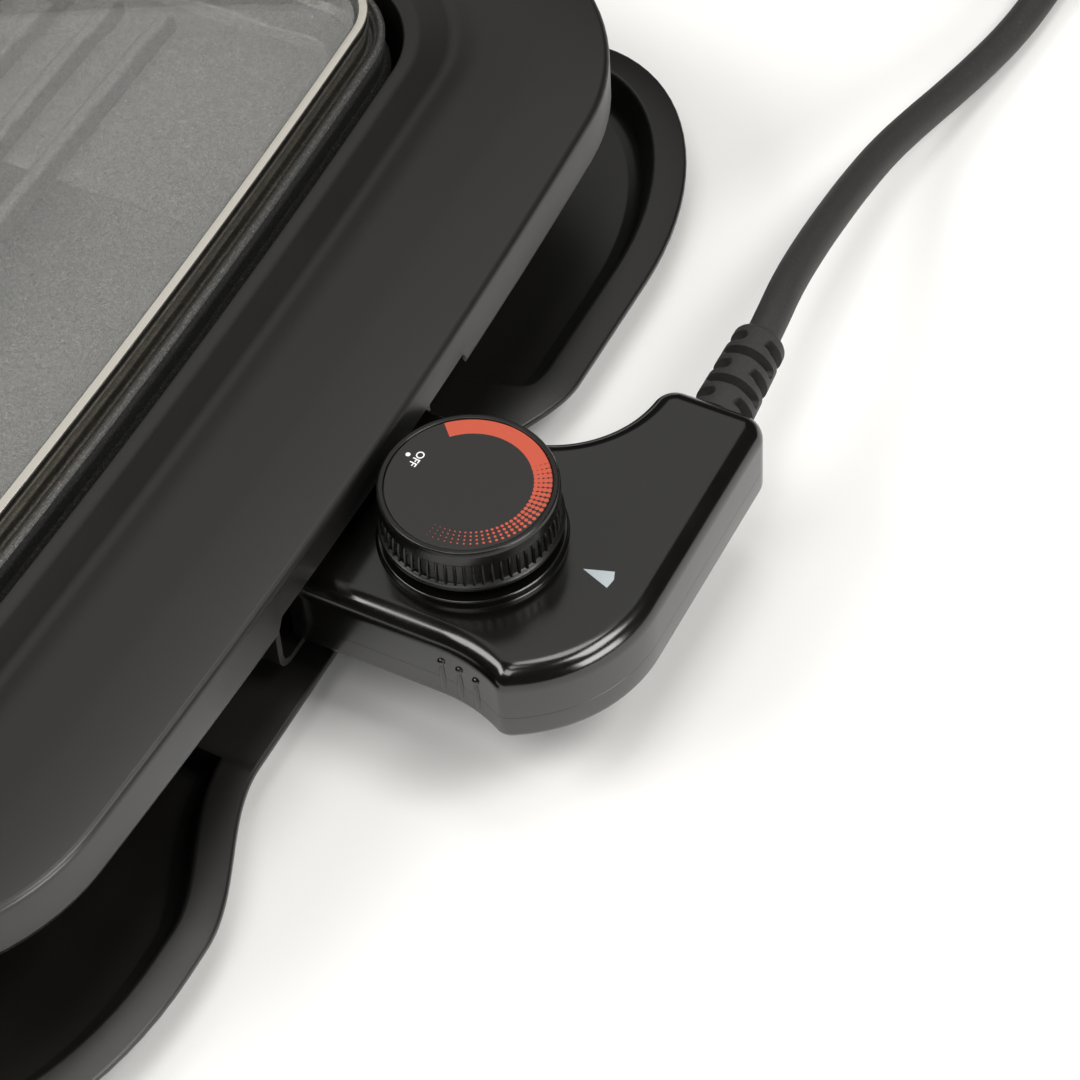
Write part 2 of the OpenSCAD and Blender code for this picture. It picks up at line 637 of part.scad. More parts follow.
module controller_screws() color(steel) at_dial()
    for (p = post_places) translate([p.x, p.y, control_low_z + 0.1]) bolt(casing_screw);

// Phenolic nose that carries the two contacts and guides the probe.
module contact_nose() color("#26211e") at_dial() difference() {
    translate([-neck_reach - 15, -nose_half, nose_low_z])
        cube([15 + control_wall + 5, 2 * nose_half, nose_high_z - nose_low_z]);
    for (y = [-1, 1]) translate([-neck_reach - 16, y * pin_pitch / 2, axis_z]) rotate([0, 90, 0])
        cylinder(d = pin_d + 2.6, h = 40);
    translate([-neck_reach - 16, 0, axis_z]) rotate([0, 90, 0]) cylinder(d = probe_d, h = 40);
}

module contact_sleeves() color("#c8a24a") at_dial()
    for (y = [-1, 1]) translate([-neck_reach - 14.5, y * pin_pitch / 2, axis_z]) rotate([0, 90, 0])
        difference() {
            cylinder(d = pin_d + 2.6, h = 24);
            translate([0, 0, -1]) cylinder(d = pin_d + 2 * slide_gap, h = 22);
        }

module sensor_probe() color(steel) at_dial()
    translate([-neck_reach - 15 - probe_len, 0, axis_z]) rotate([0, 90, 0]) {
        translate([0, 0, probe_d / 2]) cylinder(d = probe_d, h = probe_len + 26 - probe_d / 2);
        translate([0, 0, probe_d / 2]) sphere(d = probe_d);
    }

switch_low_z = control_low_z + control_wall + 0.6;
module thermostat_switch() color("#3a3532") at_dial() difference() {
    translate([-18, -15, switch_low_z]) cube([40, 30, axis_z - 4 - switch_low_z]);
    translate([0, 0, switch_low_z + 4]) cylinder(d = 20, h = 20);
    translate([0, 0, switch_low_z - 1]) cylinder(d = spindle_d + 0.8, h = 20);
}

// Rubber sleeve anchored in the arm's end wall, ringed so that it bends.
module strain_relief() color(rubber) at_dial()
    translate([relief_n, arm_reach, cord_z]) rotate([-90, 0, 0]) rotate_extrude()
        polygon([[0, -5.4], [6.2, -5.4], [6.2, -control_wall - 0.3],
            [relief_bore_r - 0.05, -control_wall - 0.2], [relief_bore_r - 0.05, 0.1], [6.8, 0.1],
            [6.8, 7.2], [4.9, 7.8], [4.9, 9.2], [6.7, 9.8], [6.6, 17], [4.8, 17.6], [4.8, 19],
            [6.5, 19.6], [6.2, 27], [5, 28.5], [0, 28.5]]);

// Dial -------------------------------------------------------------------------------------

label_sink = 0.8;
module dial_knob() color(moulding) at_dial() translate([0, 0, dial_low_z]) {
    r = dial_d / 2;
    grip_top = dial_h - 5.5;
    difference() {
        union() {
            rotate_extrude() polygon([[0, 0], [r + 0.4, 0], [r + 0.7, 0.5], [r + 0.7, 1.2], [r - 0.1, 1.5],
                [r, dial_h - 0.9], [r - 0.3, dial_h - 0.2], [r - 0.8, dial_h], [0, dial_h]]);
            translate([0, 0, 1.2]) linear_extrude(grip_top - 1.2) polygon([for (k = [0:4 * dial_ribs - 1])
                let (w = 90 * k / dial_ribs, rib = k % 4 < 2 ? 0.45 : -1) (r + rib) * [cos(w), sin(w)]]);
            translate([0, 0, boss_h - 4.6]) cylinder(d = 13, h = 4);
        }
        translate([0, 0, dial_h - label_sink]) cylinder(d = label_d, h = 2);
        translate([0, 0, -5]) cylinder(d = spindle_d, h = dial_h + 1);
    }
}
module dial_label() color("#3d3c3b") at_dial()
    translate([0, 0, dial_low_z + dial_h - label_sink]) cylinder(d = label_d, h = label_sink - 0.15);
// Spindle with the cam that sets the switch and the ring that keeps it in the casing.
module dial_spindle() color(steel) at_dial() {
    cam_z = switch_low_z + 4.8;
    translate([0, 0, cam_z]) cylinder(d = spindle_d, h = dial_low_z + dial_h - 4 - cam_z);
    translate([0, 0, cam_z]) cylinder(d = 18, h = 2.2);
}

// Cord -------------------------------------------------------------------------------------

// The route's points are fixed; the lead starts at the end of the strain relief.
lead_route = [[249.5, 86, 34], [249, 95, 33.8], [247.4, 106, 32.6], [245.3, 122, 29.3], [243.8, 139, 25],
    [243.2, 156, 20.2], [243.6, 172, 16], [245.2, 188, 12.2], [247.6, 204, 9], [250.2, 220, 6.8],
    [252.4, 236, 5.4], [253.6, 252, 4.9], [254, 268, 4.8], [254, 289, 4.8], [254, 310, 4.8]];
tail_route = [[301.4, 266.4, 11.2], [288, 266.3, 11.4], [272, 266.1, 12], [256, 266, 12.6],
    [240, 266, 13.4], [224, 266, 15.4], [212, 266, 17.6], [205, 266, 18.5]];
coil_centre = [301.4, 310];
turn_z = 4.8;
tie_t = 0.8;

// Tube swept along a route's own points.
module swept(route, d, sides = 10) {
    n = len(route);
    function along(k) = let (v = route[min(k + 1, n - 1)] - route[max(k - 1, 0)]) v / norm(v);
    function ring(k) = let (t = along(k), u = cross([0, 0, 1], t), side = u / norm(u), up = cross(t, side))
        [for (i = [0:sides - 1]) let (w = 360 * i / sides)
            route[k] + (side * cos(w) + up * sin(w)) * d / 2];
    polyhedron(
        points = [for (k = [0:n - 1]) each ring(k)],
        faces = concat(
            [for (k = [0:n - 2], i = [0:sides - 1]) let (j = (i + 1) % sides)
                each [[k * sides + i, (k + 1) * sides + i, (k + 1) * sides + j],
                    [k * sides + i, (k + 1) * sides + j, k * sides + j]]],
            [[for (i = [0:sides - 1]) i], [for (i = [sides - 1:-1:0]) (n - 1) * sides + i]]));
}

module cord_lead() color(rubber) swept(lead_route, cord_d);
module cord_tail() color(rubber) swept(tail_route, cord_d);
module cord_coil() color(rubber) translate([coil_centre.x, coil_centre.y, turn_z]) rotate_extrude() {
    h = cord_d / 2;
    inner = coil_r - 1.5 * cord_d;
    outer = coil_r + 1.5 * cord_d;
    polygon([[inner, -h / 2], [inner + 1.6, -h], [outer - 1.6, -h], [outer, -h / 2], [outer, h / 2],
        [outer - h, 2.2 * h], [outer - 1.5 * h, 2.8 * h], [inner + 1.5 * h, 2.8 * h], [inner + h, 2.2 * h],
        [inner, h / 2]]);
}

// Tie that holds the coil's turns together on the side away from the grill.
module cord_tie() color(rubber) translate([coil_centre.x, coil_centre.y, turn_z]) rotate([0, 0, 40])
    translate([coil_r, 5, 0]) rotate([90, 0, 0]) linear_extrude(10) difference() {
        w = 1.5 * cord_d + 0.3;
        low = -cord_d / 2 - 0.2;
        high = 1.4 * cord_d + 0.2;
        translate([-w - tie_t, low - tie_t]) square([2 * w + 2 * tie_t, high - low + 2 * tie_t]);
        translate([-w, low]) square([2 * w, high - low]);
    }

plug_x = 205;
plug_y = 266;
plug_z = 18.5;
module at_plug() translate([plug_x, plug_y, plug_z]) rotate([0, -90, 0]) children();
// Moulded plug: strain relief, waist and round front.
module mains_plug() color(rubber) at_plug() rotate_extrude()
    polygon([[0, 0], [5.2, 0], [5.6, 10], [9.5, 13], [12, 18], [13.2, 26], [14, 34], [18, 38], [18.4, 40],
        [18.4, 46], [17.4, 47], [0, 47]]);
module plug_pins() color(steel) at_plug()
    for (y = [-9.5, 9.5]) translate([0, y, 47]) {
        cylinder(d = 4.8, h = 17);
        translate([0, 0, 17]) sphere(d = 4.8);
    }

drip_tray();
tray_feet();
housing();
terminal_guard();
guard_screws();
grill_plate();
plate_screws();
heating_element();
element_clips();
clip_screws();
terminal_pins();
pin_insulators();
lid_glass();
lid_rim();
lid_knob();
knob_seat();
knob_screw();
vent_eyelet();
controller_top_shell();
controller_bottom_shell();
contact_nose();
contact_sleeves();
sensor_probe();
thermostat_switch();
controller_screws();
strain_relief();
dial_knob();
dial_label();
dial_spindle();
cord_lead();
cord_coil();
cord_tail();
cord_tie();
mains_plug();
plug_pins();
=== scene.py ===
# Electric indoor grill with a lift-off lid and a plug-in heat controller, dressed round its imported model.
# Lengths are in millimetres until a piece is finished, and then in metres, as the frame is.
import math

import bmesh
import bpy
from mathutils import Matrix, Vector


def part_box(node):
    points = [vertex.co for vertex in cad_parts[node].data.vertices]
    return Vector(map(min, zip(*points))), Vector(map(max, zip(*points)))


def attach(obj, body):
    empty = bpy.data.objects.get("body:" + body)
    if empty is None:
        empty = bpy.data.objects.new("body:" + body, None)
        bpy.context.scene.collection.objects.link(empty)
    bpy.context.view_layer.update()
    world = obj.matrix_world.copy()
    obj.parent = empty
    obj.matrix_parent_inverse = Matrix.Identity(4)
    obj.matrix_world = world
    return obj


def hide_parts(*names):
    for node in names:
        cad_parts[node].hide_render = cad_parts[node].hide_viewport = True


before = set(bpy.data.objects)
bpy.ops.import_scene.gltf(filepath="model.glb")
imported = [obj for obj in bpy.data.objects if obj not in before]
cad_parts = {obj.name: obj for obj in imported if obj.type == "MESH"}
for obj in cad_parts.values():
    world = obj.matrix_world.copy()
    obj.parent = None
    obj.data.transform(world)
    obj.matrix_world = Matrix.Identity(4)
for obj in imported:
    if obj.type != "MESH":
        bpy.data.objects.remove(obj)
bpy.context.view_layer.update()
scene = bpy.context.scene
scene.view_settings.view_transform = "Standard"
millimetre = 0.001
print("frame loaded:", len(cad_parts), "nodes")


# camera
cameraSettings = {
    "azimuth": 30.4,  # degrees round from the side where the cord doesn't leave
    "elevation": 51.0,
    "roll": 4.2,
    "lens": 120.0,
    "sensor": 36.0,
    "frameSize": 1080,
    "aimPoint": (0.220, 0.0, 0.062),  # middle of the dial's top
    "aimPixel": (468.0, 482.7),
    "pixelsPerMetre": 4645.0,  # at the dial's top
}


def buildCamera(settings):
    azimuth = math.radians(settings["azimuth"])
    elevation = math.radians(settings["elevation"])
    roll = math.radians(settings["roll"])
    forward = Vector((
        -math.sin(azimuth) * math.cos(elevation),
        math.cos(azimuth) * math.cos(elevation),
        -math.sin(elevation),
    ))
    right = Vector((math.cos(azimuth), math.sin(azimuth), 0.0))
    up = right.cross(forward)
    imageRight = math.cos(roll) * right - math.sin(roll) * up
    imageUp = math.sin(roll) * right + math.cos(roll) * up
    focal = settings["lens"] / settings["sensor"] * settings["frameSize"]
    half = settings["frameSize"] / 2
    across = (settings["aimPixel"][0] - half) / focal
    down = (settings["aimPixel"][1] - half) / focal
    depth = focal / settings["pixelsPerMetre"]
    data = bpy.data.cameras.new("camera")
    data.lens = settings["lens"]
    data.sensor_width = settings["sensor"]
    data.clip_start = 0.01
    data.clip_end = 20
    camera = bpy.data.objects.new("camera", data)
    turned = Matrix((imageRight, imageUp, -forward)).transposed().to_4x4()
    ray = forward + across * imageRight - down * imageUp
    turned.translation = Vector(settings["aimPoint"]) - ray * depth
    camera.matrix_world = turned
    scene.collection.objects.link(camera)
    scene.camera = camera


buildCamera(cameraSettings)
print("camera placed")


# node and mesh helpers
def hexColor(value, alpha=1.0):
    # sRGB hex to linear
    channels = [int(value[k:k + 2], 16) / 255 for k in (1, 3, 5)]
    return [c / 12.92 if c <= 0.04045 else ((c + 0.055) / 1.055) ** 2.4 for c in channels] + [alpha]


def addNode(tree, kind, settings=None, inputs=None):
    node = tree.nodes.new(kind)
    for name, value in (settings or {}).items():
        setattr(node, name, value)
    for name, value in (inputs or {}).items():
        if isinstance(value, bpy.types.NodeSocket):
            tree.links.new(value, node.inputs[name])
        else:
            node.inputs[name].default_value = value
    return node


def startMaterial(name, color, roughness, metallic=0.0, **sockets):
    material = bpy.data.materials.new(name)
    material.use_nodes = True
    tree = material.node_tree
    shader = tree.nodes["Principled BSDF"]
    shader.inputs["Base Color"].default_value = hexColor(color)
    shader.inputs["Roughness"].default_value = roughness
    shader.inputs["Metallic"].default_value = metallic
    for socket, value in sockets.items():
        shader.inputs[socket.replace("_", " ")].default_value = value
    place = addNode(tree, "ShaderNodeTexCoord").outputs["Object"]
    return material, tree, shader, place


def perMetre(size):
    # texture scale that gives a pattern of that size in millimetres
    return 1000.0 / size


def addNoise(tree, place, size, detail, roughness=0.5):
    noise = addNode(tree, "ShaderNodeTexNoise", None, {
        "Vector": place, "Scale": perMetre(size), "Detail": detail, "Roughness": roughness})
    return noise.outputs["Fac"]


def addRange(tree, value, low, high, fromLow=0.0, fromHigh=1.0):
    spread = addNode(tree, "ShaderNodeMapRange", None, {
        "Value": value, "From Min": fromLow, "From Max": fromHigh, "To Min": low, "To Max": high})
    return spread.outputs["Result"]


def addRamp(tree, value, stops):
    # stops are pairs of a position and a hex colour
    node = addNode(tree, "ShaderNodeValToRGB", None, {"Fac": value})
    elements = node.color_ramp.elements
    while len(elements) < len(stops):
        elements.new(0.5)
    for element, (position, color) in zip(elements, stops):
        element.position = position
        element.color = hexColor(color)
    return node.outputs["Color"]


def addBump(tree, shader, height, strength, distance):
    bump = addNode(tree, "ShaderNodeBump", None, {"Strength": strength, "Distance": distance, "Height": height})
    tree.links.new(bump.outputs["Normal"], shader.inputs["Normal"])


def closedMesh(name, bm):
    # form in millimetres to a mesh in metres, with its normals outwards
    bmesh.ops.remove_doubles(bm, verts=bm.verts, dist=1e-4)
    bmesh.ops.recalc_face_normals(bm, faces=bm.faces)
    bmesh.ops.scale(bm, vec=(millimetre,) * 3, verts=bm.verts)
    mesh = bpy.data.meshes.new(name)
    bm.to_mesh(mesh)
    bm.free()
    return mesh


def placePiece(mesh, body, material, nodes, sharpAngle=32):
    mesh.polygons.foreach_set("use_smooth", [True] * len(mesh.polygons))
    mesh.set_sharp_from_angle(angle=math.radians(sharpAngle))
    mesh.materials.append(material)
    piece = bpy.data.objects.new(mesh.name, mesh)
    scene.collection.objects.link(piece)
    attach(piece, body)
    if nodes:
        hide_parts(*nodes)
    return piece


def finishPiece(name, bm, body, material, nodes=(), sharpAngle=32):
    return placePiece(closedMesh(name, bm), body, material, nodes, sharpAngle)


def refineNode(node, body, material):
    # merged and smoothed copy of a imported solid, which it then stands for
    bm = bmesh.new()
    bm.from_mesh(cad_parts[node].data)
    bmesh.ops.remove_doubles(bm, verts=bm.verts, dist=2e-6)
    mesh = bpy.data.meshes.new(node + "Dressed")
    bm.to_mesh(mesh)
    bm.free()
    return placePiece(mesh, body, material, [node])


def loftRings(bm, rings, closed=False):
    # skin through rings of equal length, each grown from the one before, and capped unless it closes on itself
    count = len(rings[0])
    below = [bm.verts.new(p) for p in rings[0]]
    loop = [bm.edges.new((below[i], below[(i + 1) % count])) for i in range(count)]
    startLoop = loop
    for ring in rings[1:] + ([rings[0]] if closed else []):
        grown = bmesh.ops.extrude_edge_only(bm, edges=loop)["geom"]
        fresh = {v for v in grown if isinstance(v, bmesh.types.BMVert)}
        above = [next(e.other_vert(v) for e in v.link_edges if e.other_vert(v) in fresh) for v in below]
        for vert, point in zip(above, ring):
            vert.co = point
        loop = [bm.edges.get((above[i], above[(i + 1) % count])) for i in range(count)]
        below = above
    if closed:
        bmesh.ops.remove_doubles(bm, verts=bm.verts, dist=1e-4)
        return
    for edges in (startLoop, loop):
        bmesh.ops.edgeloop_fill(bm, edges=edges)


def spinProfile(bm, profile, centre=(0, 0, 0), axis=(0, 0, 1), outward=(1, 0, 0), steps=96):
    # profile of (radius, height) points turned about axis through centre
    axis, outward, centre = Vector(axis), Vector(outward), Vector(centre)
    verts = [bm.verts.new(centre + outward * r + axis * h) for r, h in profile]
    edges = [bm.edges.new(pair) for pair in zip(verts, verts[1:])]
    bmesh.ops.spin(bm, geom=verts + edges, cent=centre, axis=axis, angle=math.tau, steps=steps,
                   use_merge=True, use_duplicate=False)
    bmesh.ops.remove_doubles(bm, verts=bm.verts, dist=1e-4)


def roundCorners(corners, closed=True, steps=6):
    # corners are (u, v, radius), and each one is replaced with an arc of that radius
    rounded = []
    count = len(corners)
    for i, (u, v, radius) in enumerate(corners):
        here = Vector((u, v))
        ends = not closed and i in (0, count - 1)
        if radius <= 0 or ends:
            rounded.append((u, v))
            continue
        before = Vector(corners[i - 1][:2]) - here
        after = Vector(corners[(i + 1) % count][:2]) - here
        half = before.angle(after) / 2
        if half > math.radians(89.5):
            rounded.append((u, v))
            continue
        reach = min(radius / math.tan(half), 0.48 * before.length, 0.48 * after.length)
        radius = reach * math.tan(half)
        start = here + before.normalized() * reach
        end = here + after.normalized() * reach
        centre = here + (before.normalized() + after.normalized()).normalized() * (radius / math.sin(half))
        spokeA, spokeB = start - centre, end - centre
        sweep = spokeA.angle_signed(spokeB)
        for k in range(steps + 1):
            turned = spokeA.copy()
            turned.rotate(Matrix.Rotation(-sweep * k / steps, 2))
            rounded.append(tuple(centre + turned))
    return rounded


def arcPoints(centre, radius, start, end, steps):
    points = []
    for k in range(steps + 1):
        turn = math.radians(start + (end - start) * k / steps)
        points.append((centre[0] + radius * math.cos(turn), centre[1] + radius * math.sin(turn)))
    return points


def mix(a, b, share):
    return a + (b - a) * share


def smoothStep(value):
    value = min(1.0, max(0.0, value))
    return value * value * (3 - 2 * value)


def roundRect(a, b, radius, endSteps=48, sideSteps=60, cornerSteps=20, endMarks=()):
    # anticlockwise from the +X +Y corner, with one radius or a pair of them for elliptic corners;
    # endMarks are shares of the +X side where a point is wanted
    rx, ry = radius if isinstance(radius, tuple) else (radius, radius)
    points = []
    corners = [(1, 1), (-1, 1), (-1, -1), (1, -1)]
    for q, (sx, sy) in enumerate(corners):
        arc = []
        for u, v in arcPoints((0, 0), 1, 90 * q, 90 * q + 90, cornerSteps):
            arc.append((sx * (a - rx) + rx * u, sy * (b - ry) + ry * v))
        nx, ny = corners[(q + 1) % 4]
        turn = math.radians(90 * (q + 1))
        target = (nx * (a - rx) + rx * math.cos(turn), ny * (b - ry) + ry * math.sin(turn))
        steps = endSteps if q % 2 else sideSteps
        shares = [k / steps for k in range(1, steps)]
        if q == 3:
            shares = sorted(shares + list(endMarks))
        points += arc
        points += [(mix(arc[-1][0], target[0], s), mix(arc[-1][1], target[1], s)) for s in shares]
    return points


def bowed(points, a, b, ends, sides):
    # draws the corners in a little, so that the straight sides bow outwards
    return [(x * (1 - ends / a * (y / b) ** 2), y * (1 - sides / b * (x / a) ** 2)) for x, y in points]


def insetLoop(points, depths):
    # each point of an anticlockwise loop moved inwards by its own depth
    count = len(points)
    moved = []
    for i, point in enumerate(points):
        here = Vector(point)
        first = here - Vector(points[i - 1])
        second = Vector(points[(i + 1) % count]) - here
        before = Vector((first.y, -first.x)).normalized()
        after = Vector((second.y, -second.x)).normalized()
        depth = depths[i] if isinstance(depths, list) else depths
        moved.append(tuple(here - (before + after) / (1 + before.dot(after)) * depth))
    return moved


# sizes shared by several pieces, as in the part's own source
bodyLength, bodyWidth, bodyCornerRadius = 450.0, 336.0, 54.0
endFlange, sideFlange, openingRadius = 53.3, 30.0, 26.0
endBow, sideBow = 6.7, 3.0  # how far the sides stand out at their middles
openingBow = 0.6  # the opening's bow as a share of the body's
trayOverhang = 11.5
plateGap = 2.7
controlReach = 45.0
dialGap = 23.5
bodyA, bodyB = bodyLength / 2, bodyWidth / 2
openingA, openingB = bodyA - endFlange, bodyB - sideFlange
trayA, trayB = bodyA + trayOverhang, bodyB + trayOverhang
plateA, plateB, plateRadius = openingA - plateGap, openingB - plateGap, openingRadius - plateGap
dialX = bodyA + dialGap
bodyX = -(dialX + controlReach - trayA) / 2
dialCentre = (bodyX + dialX, 0.0)
flangeTop, crestTop, ledgeTop, cookTop, plateUnder = 60.0, 58.5, 55.0, 46.0, 42.0
axisHeight = 38.5
controlTop, controlLow, partingHeight = 45.0, 23.0, 31.0
legInset, legSpread = 16.0, 68.0  # from the opening's end and from the body's side
legX, legY = openingA + legInset, bodyB - legSpread
legSpots = [(bodyX + sx * legX, sy * legY, 0) for sx in (-1, 1) for sy in (-1, 1)]


def atHeight(points, height, centre=(bodyX, 0.0)):
    return [(x + centre[0], y + centre[1], height) for x, y in points]


def openingLoop(a, b, radius, endMarks=()):
    loop = roundRect(a, b, radius, endMarks=endMarks)
    return bowed(loop, openingA, openingB, endBow * openingBow, sideBow * openingBow)


def plateLoop(depth):
    # the plate's outline moved in by depth, which the lid follows too
    loop = roundRect(plateA - depth, plateB - depth, plateRadius - min(depth, 12))
    return bowed(loop, plateA, plateB, endBow * openingBow, sideBow * openingBow)


# materials
def housingPolyester():
    # glass-filled polyester, moulded in a spark-eroded tool: satin black with a fine even grain
    material, tree, shader, place = startMaterial("glassFilledPolyester", "#181716", 0.34, IOR=1.55)
    drift = addNoise(tree, place, 38.0, 3.0)
    tree.links.new(addRange(tree, drift, 0.32, 0.38, 0.3, 0.7), shader.inputs["Roughness"])
    addBump(tree, shader, addNoise(tree, place, 0.35, 3.0, 0.6), 0.12, 0.00004)
    return material


def controllerPhenolic(name, glossLow, glossHigh, refraction):
    # polished phenolic moulding: deep black with a gloss skin and faint handling haze
    material, tree, shader, place = startMaterial(name, "#0b0a09", mix(glossLow, glossHigh, 0.5), IOR=refraction)
    haze = addNoise(tree, place, 14.0, 6.0, 0.6)
    tree.links.new(addRange(tree, haze, glossLow, glossHigh, 0.3, 0.7), shader.inputs["Roughness"])
    addBump(tree, shader, addNoise(tree, place, 1.2, 2.0), 0.06, 0.00003)
    return material


def nonStickCoating():
    # sprayed fluoropolymer with mica on cast aluminium: dark grey, pebbled, with pale flecks
    material, tree, shader, place = startMaterial("nonStickCoating", "#5a5a59", 0.46, 0.75)
    mica = addNode(tree, "ShaderNodeTexVoronoi", None, {"Vector": place, "Scale": perMetre(0.24)})
    fleck = addRamp(tree, mica.outputs["Color"],
                    [(0.0, "#4c4c4b"), (0.6, "#5d5d5c"), (0.85, "#7d7c7a"), (1.0, "#b5b4b0")])
    tree.links.new(fleck, shader.inputs["Base Color"])
    addBump(tree, shader, addNoise(tree, place, 0.4, 3.0, 0.65), 0.35, 0.00008)
    return material


def temperedGlass():
    # tempered soda-lime glass, scoured by years of washing: clear body under a fine grey haze
    material, tree, shader, place = startMaterial(
        "temperedGlass", "#efefec", 0.04, IOR=1.52, Transmission_Weight=0.95)
    scour = addNoise(tree, place, 0.7, 2.0, 0.7)
    tree.links.new(addRange(tree, scour, 0.90, 1.0, 0.3, 0.7), shader.inputs["Transmission Weight"])
    return material


def cordRubber():
    # extruded rubber sheath, dusted with talc: matt grey-black with faint pale specks
    material, tree, shader, place = startMaterial("talcedRubber", "#2b2a29", 0.62)
    powder = addNoise(tree, place, 0.8, 5.0, 0.7)
    tone = addRamp(tree, powder, [(0.35, "#272625"), (0.6, "#2e2d2b"), (0.75, "#464542")])
    tree.links.new(tone, shader.inputs["Base Color"])
    addBump(tree, shader, powder, 0.25, 0.00006)
    return material


def unevenGloss(name, color, roughness, metallic, grain, detail, low, high):
    # one colour, with a roughness that wanders from low to high in a pattern of grain millimetres
    material, tree, shader, place = startMaterial(name, color, roughness, metallic)
    wear = addNoise(tree, place, grain, detail)
    tree.links.new(addRange(tree, wear, low, high), shader.inputs["Roughness"])
    return material


def unevenTone(name, color, roughness, metallic, grain, detail, stops):
    # one gloss, with a colour that wanders through the stops in a pattern of grain millimetres
    material, tree, shader, place = startMaterial(name, color, roughness, metallic)
    tone = addRamp(tree, addNoise(tree, place, grain, detail), stops)
    tree.links.new(tone, shader.inputs["Base Color"])
    return material


scaleSettings = {
    "centre": (0.85, 0.50),  # the print sits a little off the dial's axis
    "rowRadii": (13.75, 14.78, 15.81, 16.84),
    "columnsPerTurn": 75,
    "firstColumn": -1.4,  # degrees from +X to the middle of a dot
    "firstAngle": -101.0,  # where the smallest dots start
    "fullAngle": 44.4,  # where the dots give way to the solid block
    "lastAngle": 134.6,  # the end of the solid block
    "dotRange": (0.07, 0.69),  # radius of the first and the last dots
    "blockCentre": (0.21, 0.50),  # the block's inner edge has a centre of its own
    "blockInner": 13.75,
    "blockOuter": 18.25,
    "ink": "#c0543f",
    "disc": "#2a2928",
}


def printedDisc(settings):
    # screen-printed aluminium foil, matt lacquered: a heat scale of dots that grow into a solid block
    material, tree, shader, place = startMaterial(
        "screenPrintedFoil", settings["disc"], 0.55, Specular_IOR_Level=0.35)

    def calculate(operation, first, second=0.0):
        return addNode(tree, "ShaderNodeMath", {"operation": operation}, {0: first, 1: second}).outputs[0]

    def times(first, second):
        return calculate("MULTIPLY", first, second)

    def within(value, low, high):
        return times(calculate("GREATER_THAN", value, low), calculate("LESS_THAN", value, high))

    def length(x, y):
        return calculate("SQRT", calculate("ADD", times(x, x), times(y, y)))

    def turnOf(x, y):
        return times(calculate("ARCTAN2", y, x), 180 / math.pi)

    def offsets(origin):
        # millimetres from a point given by its offset from the dial's axis
        centred = addNode(tree, "ShaderNodeMapping", None, {
            "Vector": place, "Location": (-(dialCentre[0] + origin[0]), -(dialCentre[1] + origin[1]), 0.0),
            "Scale": (1000.0,) * 3})
        parts = addNode(tree, "ShaderNodeSeparateXYZ", None, {"Vector": centred.outputs["Vector"]})
        return parts.outputs["X"], parts.outputs["Y"]

    def offCell(cell, pitch):
        return times(calculate("SUBTRACT", calculate("FRACT", cell), 0.5), pitch)

    onScale, onDisc, onBlock = offsets(settings["centre"]), offsets((0.0, 0.0)), offsets(settings["blockCentre"])
    radius, turn = length(*onScale), turnOf(*onScale)
    first, full = settings["firstAngle"], settings["fullAngle"]
    pitch = 360 / settings["columnsPerTurn"]
    rows = settings["rowRadii"]
    rowPitch = (rows[-1] - rows[0]) / (len(rows) - 1)
    inner, outer = rows[0] - rowPitch / 2, rows[-1] + rowPitch / 2
    row = calculate("DIVIDE", calculate("SUBTRACT", radius, inner), rowPitch)
    column = calculate("DIVIDE", calculate("SUBTRACT", turn, settings["firstColumn"] - pitch / 2), pitch)
    apart = length(offCell(row, rowPitch), offCell(column, times(radius, math.radians(pitch))))
    dotSize = addRange(tree, turn, *settings["dotRange"], first, full)
    field = times(within(radius, inner, outer), within(turn, first, full))
    dots = times(calculate("LESS_THAN", apart, dotSize), field)
    ring = times(calculate("GREATER_THAN", length(*onBlock), settings["blockInner"]),
                 calculate("LESS_THAN", length(*onDisc), settings["blockOuter"]))
    block = times(within(turn, full, 180.0), times(within(turnOf(*onDisc), 0.0, settings["lastAngle"]), ring))
    inked = addNode(tree, "ShaderNodeMix", {"data_type": "RGBA"}, {
        "Factor": calculate("MAXIMUM", dots, block), 6: hexColor(settings["disc"]), 7: hexColor(settings["ink"])})
    tree.links.new(inked.outputs[2], shader.inputs["Base Color"])
    addBump(tree, shader, addNoise(tree, place, 0.3, 2.0), 0.1, 0.00002)
    return material


polyester = housingPolyester()
phenolic = controllerPhenolic("polishedPhenolic", 0.13, 0.21, 1.66)
gripPhenolic = controllerPhenolic("satinPhenolic", 0.24, 0.32, 1.5)
coating = nonStickCoating()
glass = temperedGlass()
rubber = cordRubber()
foil = printedDisc(scaleSettings)
# rolled stainless strip, buffed along its length: warm bright metal with a soft mirror
stainless = unevenGloss("buffedStainless", "#f2ede2", 0.16, 1.0, 1.5, 4.0, 0.12, 0.22)
# zinc-plated and turned steel of the fasteners, pins and probe: cool metal, half dull
steel = unevenGloss("platedSteel", "#b9b8b4", 0.28, 1.0, 0.6, 3.0, 0.2, 0.38)
# machined brass of the contact sleeves: yellow metal with a fine tool mark
brass = unevenGloss("turnedBrass", "#c8a24a", 0.25, 1.0, 0.5, 3.0, 0.18, 0.34)
# pad-printed inks of the word and the pointer: flat and slightly uneven
whiteInk = unevenGloss("whiteInk", "#f1f1ef", 0.45, 0.0, 0.7, 3.0, 0.38, 0.52)
paleInk = unevenGloss("paleBlueInk", "#b4bcc0", 0.45, 0.0, 0.7, 3.0, 0.38, 0.52)
# heat-oxidised steel sheath of the element: dull brown-grey with blotches
sheath = unevenTone("oxidisedSheath", "#4a4743", 0.5, 0.8, 9.0, 5.0, [(0.35, "#3b3836"), (0.65, "#5c5750")])
